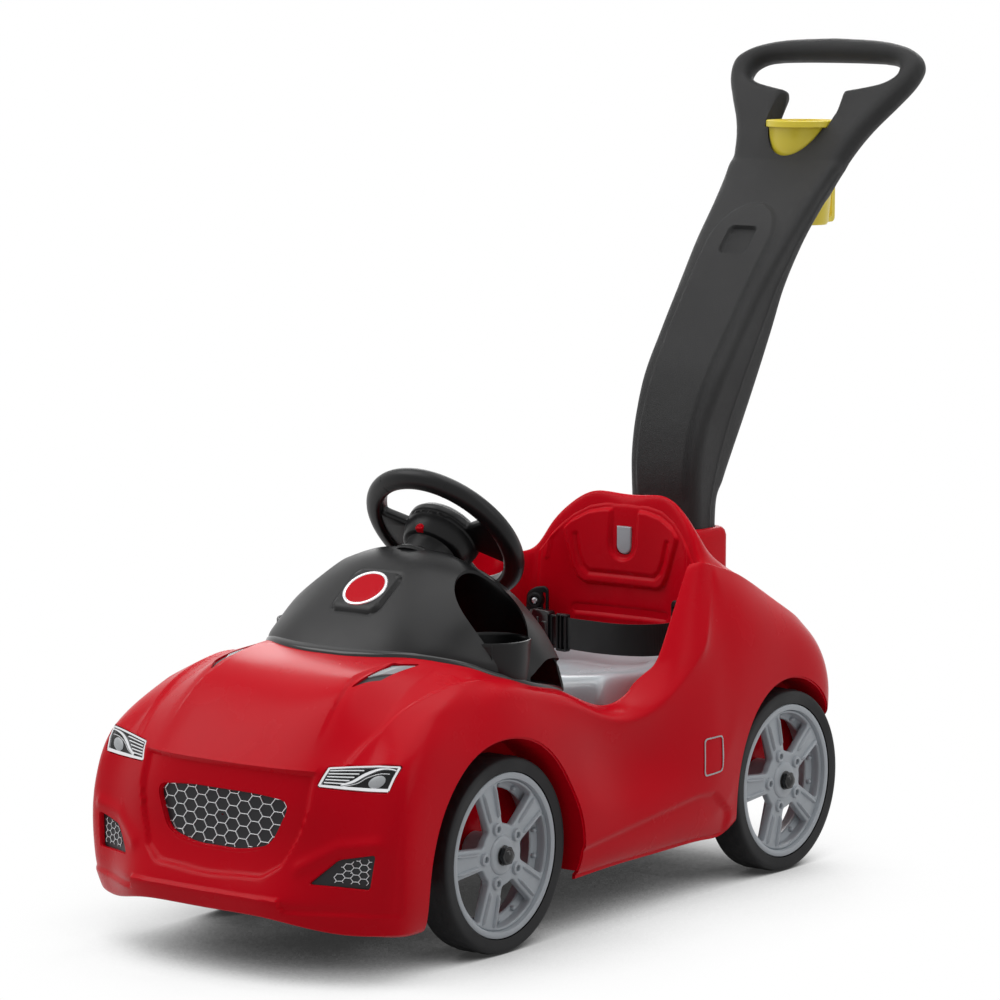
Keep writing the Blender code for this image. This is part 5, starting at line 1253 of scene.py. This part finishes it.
def cushion(outer, hole, half, radius):
    """A plate with a hole whose edges are rounded like a tube. Its outlines are points in its own plane."""
    outer, hole = evenly(outer, 0.003), evenly(hole, 0.003)
    low, high = np.min(outer, axis=0), np.max(outer, axis=0)
    spots = [(x, y) for x in np.arange(low[0], high[0], 0.0022) for y in np.arange(low[1], high[1], 0.0022)]
    spots = [p for p in spots if inside(p, outer) and not inside(p, hole)]
    gaps = loop_gap(np.array(spots), [outer, hole])
    spots = [Vector(p) for p, gap in zip(spots, gaps) if gap > 0.0012]
    border = [Vector(p) for p in outer + hole]
    n, m = len(outer), len(hole)
    edges = [(i, (i + 1) % n) for i in range(n)] + [(n + i, n + (i + 1) % m) for i in range(m)]
    found, _, faces, _, _, _ = delaunay_2d_cdt(border + spots, edges, [], 0, 1e-7)
    found = [(p.x, p.y) for p in found]
    faces = [f for f in faces if inside(*[(sum(found[i][0] for i in f) / 3, sum(found[i][1] for i in f) / 3), outer])
             and not inside((sum(found[i][0] for i in f) / 3, sum(found[i][1] for i in f) / 3), hole)]
    gaps = loop_gap(np.array(found), [outer, hole])
    rise = half * np.sqrt(np.clip(1 - (1 - np.clip(gaps / radius, 0, 1)) ** 2, 0, 1))
    count = len(found)
    places = [(x, y, h) for (x, y), h in zip(found, rise)] + [(x, y, -h) for (x, y), h in zip(found, rise)]
    faces = [tuple(f) for f in faces] + [tuple(i + count for i in reversed(f)) for f in faces]
    return tidy(mesh_of("cushion", places, faces), 0.00002)


sections = arc_path(BLADE, 6)
blade = loft("blade", [rounded_ring(half, front, behind, z, 0.0135, 6) for z, half, front, behind in sections])
PLATE_SIDE = mm([
    (-50, 69), (-30, 73), (0, 78), (30, 86.5), (57, 98), (90, 117), (115, 130), (135, 135), (150, 132.5),
    (163, 118), (172, 95), (178, 60), (181, 0),
])
HOLE_SIDE = mm([
    (40.5, 68), (40.5, 103), (65, 108), (90, 115), (103, 124), (105, 132), (101, 141), (85, 148), (45, 150.5),
    (0, 151),
])
side_line = [(half, s) for s, half in arc_path(PLATE_SIDE, 6)]
outer_line = side_line + [(-half, s) for half, s in reversed(side_line[:-1])]
hole_half = [HOLE_SIDE[0]] + arc_path(HOLE_SIDE[1:], 6)
hole_line = hole_half + [(-half, s) for half, s in reversed(hole_half[:-1])]
CUP_Y = 0.84
rise, run = math.sin(math.radians(36.87)), math.cos(math.radians(36.87))
lean = Matrix(((1, 0, 0, 0), (0, rise, -run, 0), (0, run, rise, 0), (0, 0, 0, 1)))
lean = Matrix.Translation((0, 0.8092, 0.7902)) @ lean
head = moved(cushion(outer_line, hole_line, 0.0150, 0.0135), lean)
handle_mesh = modified(merged(blade, head), ("REMESH", {"mode": "VOXEL", "voxel_size": 0.0019}),
                       ("SMOOTH", {"factor": 0.6, "iterations": 12}))
places, normals = points_of(handle_mesh), normals_of(handle_mesh)
x, y, z = places[:, 0], places[:, 1], places[:, 2]
facing = smooth_step(-normals[:, 1], 0.25, 0.45)
wide = np.interp(z, [0.40, 0.50, 0.60, 0.70, 0.76], [0.0345, 0.0365, 0.0420, 0.0450, 0.0450])
arch = np.where(z > 0.700, np.hypot(x / 0.045, (z - 0.700) / 0.046) * 0.045 - 0.045, np.abs(x) - wide)
panel = (1 - smooth_step(arch, -0.0035, 0.0005)) * smooth_step(z, 0.40, 0.44)
plate_gap = np.array([square_gap(px, (pz - 0.7020) * 1.22, 0.0190, 0.0065) for px, pz in zip(x, z)])
sunk = 1 - smooth_step(plate_gap, -0.0022, 0.0004)
middle = np.interp(z, [b[0] for b in BLADE], [b[2] * 0.42 + b[3] * 0.58 for b in BLADE])
seam = np.exp(-((y - middle) / 0.0012) ** 2) * (np.abs(normals[:, 0]) > 0.7) * (z < 0.78)
placed(handle_mesh, places + normals * (facing * (0.0032 * panel - 0.0044 * sunk) + 0.0007 * seam)[:, None])
cup_slot = cylinder(0.0425, (0, CUP_Y, 0.690), (0, CUP_Y, 0.93), 128)
cup_seat = cylinder(0.0475, (0, CUP_Y, 0.8325), (0, CUP_Y, 0.95), 128)
latch_notch = box((-0.0104, 0.5390, 0.3296), (0.0104, 0.5544, 0.3504))
for cutter in (cup_slot, cup_seat, latch_notch):
    handle_mesh = carved(handle_mesh, cutter)
piece("handle_detail", handle_mesh, GRAINED, ["push_handle"], angle=50, body="handle")

tab = mm([(10, 386), (10, 364)])
tab += [(0.0100 * math.cos(a), 0.3640 - 0.0100 * math.sin(a)) for a in [math.pi * k / 16 for k in range(1, 16)]]
tab += mm([(-10, 364), (-10, 386)])
tab_mesh = moved(plate([tab], 0.0120, 0.0018, 3), Matrix.Translation((0, 0.4780, 0)) @ upright)
stem = merged(box((-0.0060, 0.482, 0.334), (0.0060, 0.492, 0.372), 0.001),
              box((-0.0055, 0.487, 0.3345), (0.0055, 0.5458, 0.3455), 0.001))
piece("latch_detail", merged(tab_mesh, stem), GREY, ["latch_button"], body="latch")

# the cup's section: (radius, depth under its rim), down the inside and up the outside
RIM_Z = 0.841
CUP_PROFILE = mm([
    (0, 123), (24.5, 123), (27.8, 121.5), (29.2, 118), (39.4, 8), (39.8, 1), (40.4, 0), (44, 0), (44.9, 0.8),
    (45, 7.5), (44.4, 8), (43.2, 8), (42.4, 7.2), (41.6, 8), (40, 25), (39.7, 26.2), (31, 121.5), (29, 125),
    (26.2, 125), (25.4, 123.6), (0, 123.6),
])
cup_shape = turned([(radius, RIM_Z - depth) for radius, depth in CUP_PROFILE], 96)
loop = plate([flat_rounded(mm([(26, 718), (65, 718), (65, 768), (26, 768)]), 0.006, 0.001),
              flat_rounded(mm([(24, 721.5), (61.5, 721.5), (61.5, 764.5), (24, 764.5)]), 0.004, 0.001)], 0.0068, 0.0014,
              3)
loop = moved(loop, Matrix(((0, 0, 1, 0), (1, 0, 0, 0), (0, 1, 0, 0), (0, 0, 0, 1))))
inner = turned([(0, 0.90), (0.0392, 0.90), (0.0392, RIM_Z - 0.010), (0.0296, RIM_Z - 0.116), (0, RIM_Z - 0.116)], 64)
loop = carved(loop, inner)
piece("cup_detail", merged(cup_shape, loop), YELLOW, ["cup"], matrix=Matrix.Translation((0, CUP_Y, 0)),
    body="cup")
spacers = ["spacer_" + end + "_" + label for end in ("front", "rear") for _, label in SIDES]
for name in ("front_axle", "rear_axle", "steering_shaft", "column_washer", *spacers):
    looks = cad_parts[name].data.materials
    looks.clear()
    looks.append(SATIN if name in spacers else STEEL)


# Floor, light and camera
def split(look, plain, bright, end):
    """Joins two shaders: the bright one for the camera's rays and those that reach it by a mirror or through glass."""
    path, mix = node(look, "ShaderNodeLightPath"), node(look, "ShaderNodeMixShader")
    first, second = (node(look, "ShaderNodeMath", operation="MAXIMUM") for _ in range(2))
    wire(look, path, "Is Camera Ray", first, 0)
    wire(look, path, "Is Glossy Ray", first, 1)
    wire(look, first, 0, second, 0)
    wire(look, path, "Is Transmission Ray", second, 1)
    for socket, source in enumerate((second, plain, bright)):
        wire(look, source, 0, mix, socket)
    wire(look, mix, 0, look.node_tree.nodes[end], "Surface")


floor_mesh = grid_mesh("floor", [[(x, y, 0) for x in (-9, 9)] for y in (-9, 9)])
floor = bpy.data.objects.new("studio_floor", floor_mesh)
scene.collection.objects.link(floor)
look = material("studio_floor", (0.55, 0.55, 0.55), 0.9, Specular_IOR_Level=0.1)
# what the camera and reflections see: white, with a painted contact shadow, darker the more the car shuts off the sky
shut = node(look, "ShaderNodeAmbientOcclusion", samples=16, Distance=0.34)
painted_shadow = node(look, "ShaderNodeMapRange", interpolation_type="SMOOTHSTEP", From_Min=0.10, From_Max=0.86, To_Min=0.03,
            To_Max=1.0)
bright = node(look, "ShaderNodeEmission")
wire(look, shut, "AO", painted_shadow, "Value")
wire(look, painted_shadow, "Result", bright, "Strength")
split(look, look.node_tree.nodes["Principled BSDF"], bright, "Material Output")
floor_mesh.materials.append(look)
world = bpy.data.worlds.new("studio")
scene.world = world
world.use_nodes = True
light = world.node_tree.nodes["Background"]
light.inputs["Color"].default_value = (1, 1, 1, 1)
light.inputs["Strength"].default_value = 0.26
split(world, light, node(world, "ShaderNodeBackground", Color=(1, 1, 1, 1), Strength=1.0), "World Output")


def lamp(name, place, size, power):
    data = bpy.data.lights.new(name, "AREA")
    data.shape = "RECTANGLE"
    data.size, data.size_y = size
    data.energy = power
    made = bpy.data.objects.new(name, data)
    scene.collection.objects.link(made)
    made.location = place
    made.rotation_euler = (Vector((0, 0, 0.3)) - Vector(place)).to_track_quat("-Z", "Y").to_euler()


lamp("key_light", (-2.2, -1.6, 3.4), (2.6, 2.6), 66)
lamp("side_light", (3.2, 0.4, 2.2), (1.6, 2.6), 20)
lamp("top_light", (0.3, 0.6, 3.8), (3.0, 3.0), 56)
lamp("back_light", (-1.7, 2.8, 1.9), (2.6, 1.6), 34)

yaw, pitch, roll = 0.6561, 0.1193, 0.0015
back = Vector((math.sin(yaw) * math.cos(pitch), -math.cos(yaw) * math.cos(pitch), math.sin(pitch)))
right = Vector((0, 0, 1)).cross(back).normalized()
up = back.cross(right)
lens = bpy.data.cameras.new("camera")
lens.lens = 151.8
lens.shift_x, lens.shift_y = 0.03803, -0.00733
camera = bpy.data.objects.new("camera", lens)
scene.collection.objects.link(camera)
turn = Matrix((right * math.cos(roll) + up * math.sin(roll), up * math.cos(roll) - right * math.sin(roll), back))
camera.matrix_world = Matrix.Translation((2.7737, -3.434 + FRONT_AXLE_Y, 0.9985)) @ turn.transposed().to_4x4()
scene.camera = camera
scene.view_settings.view_transform = "Standard"
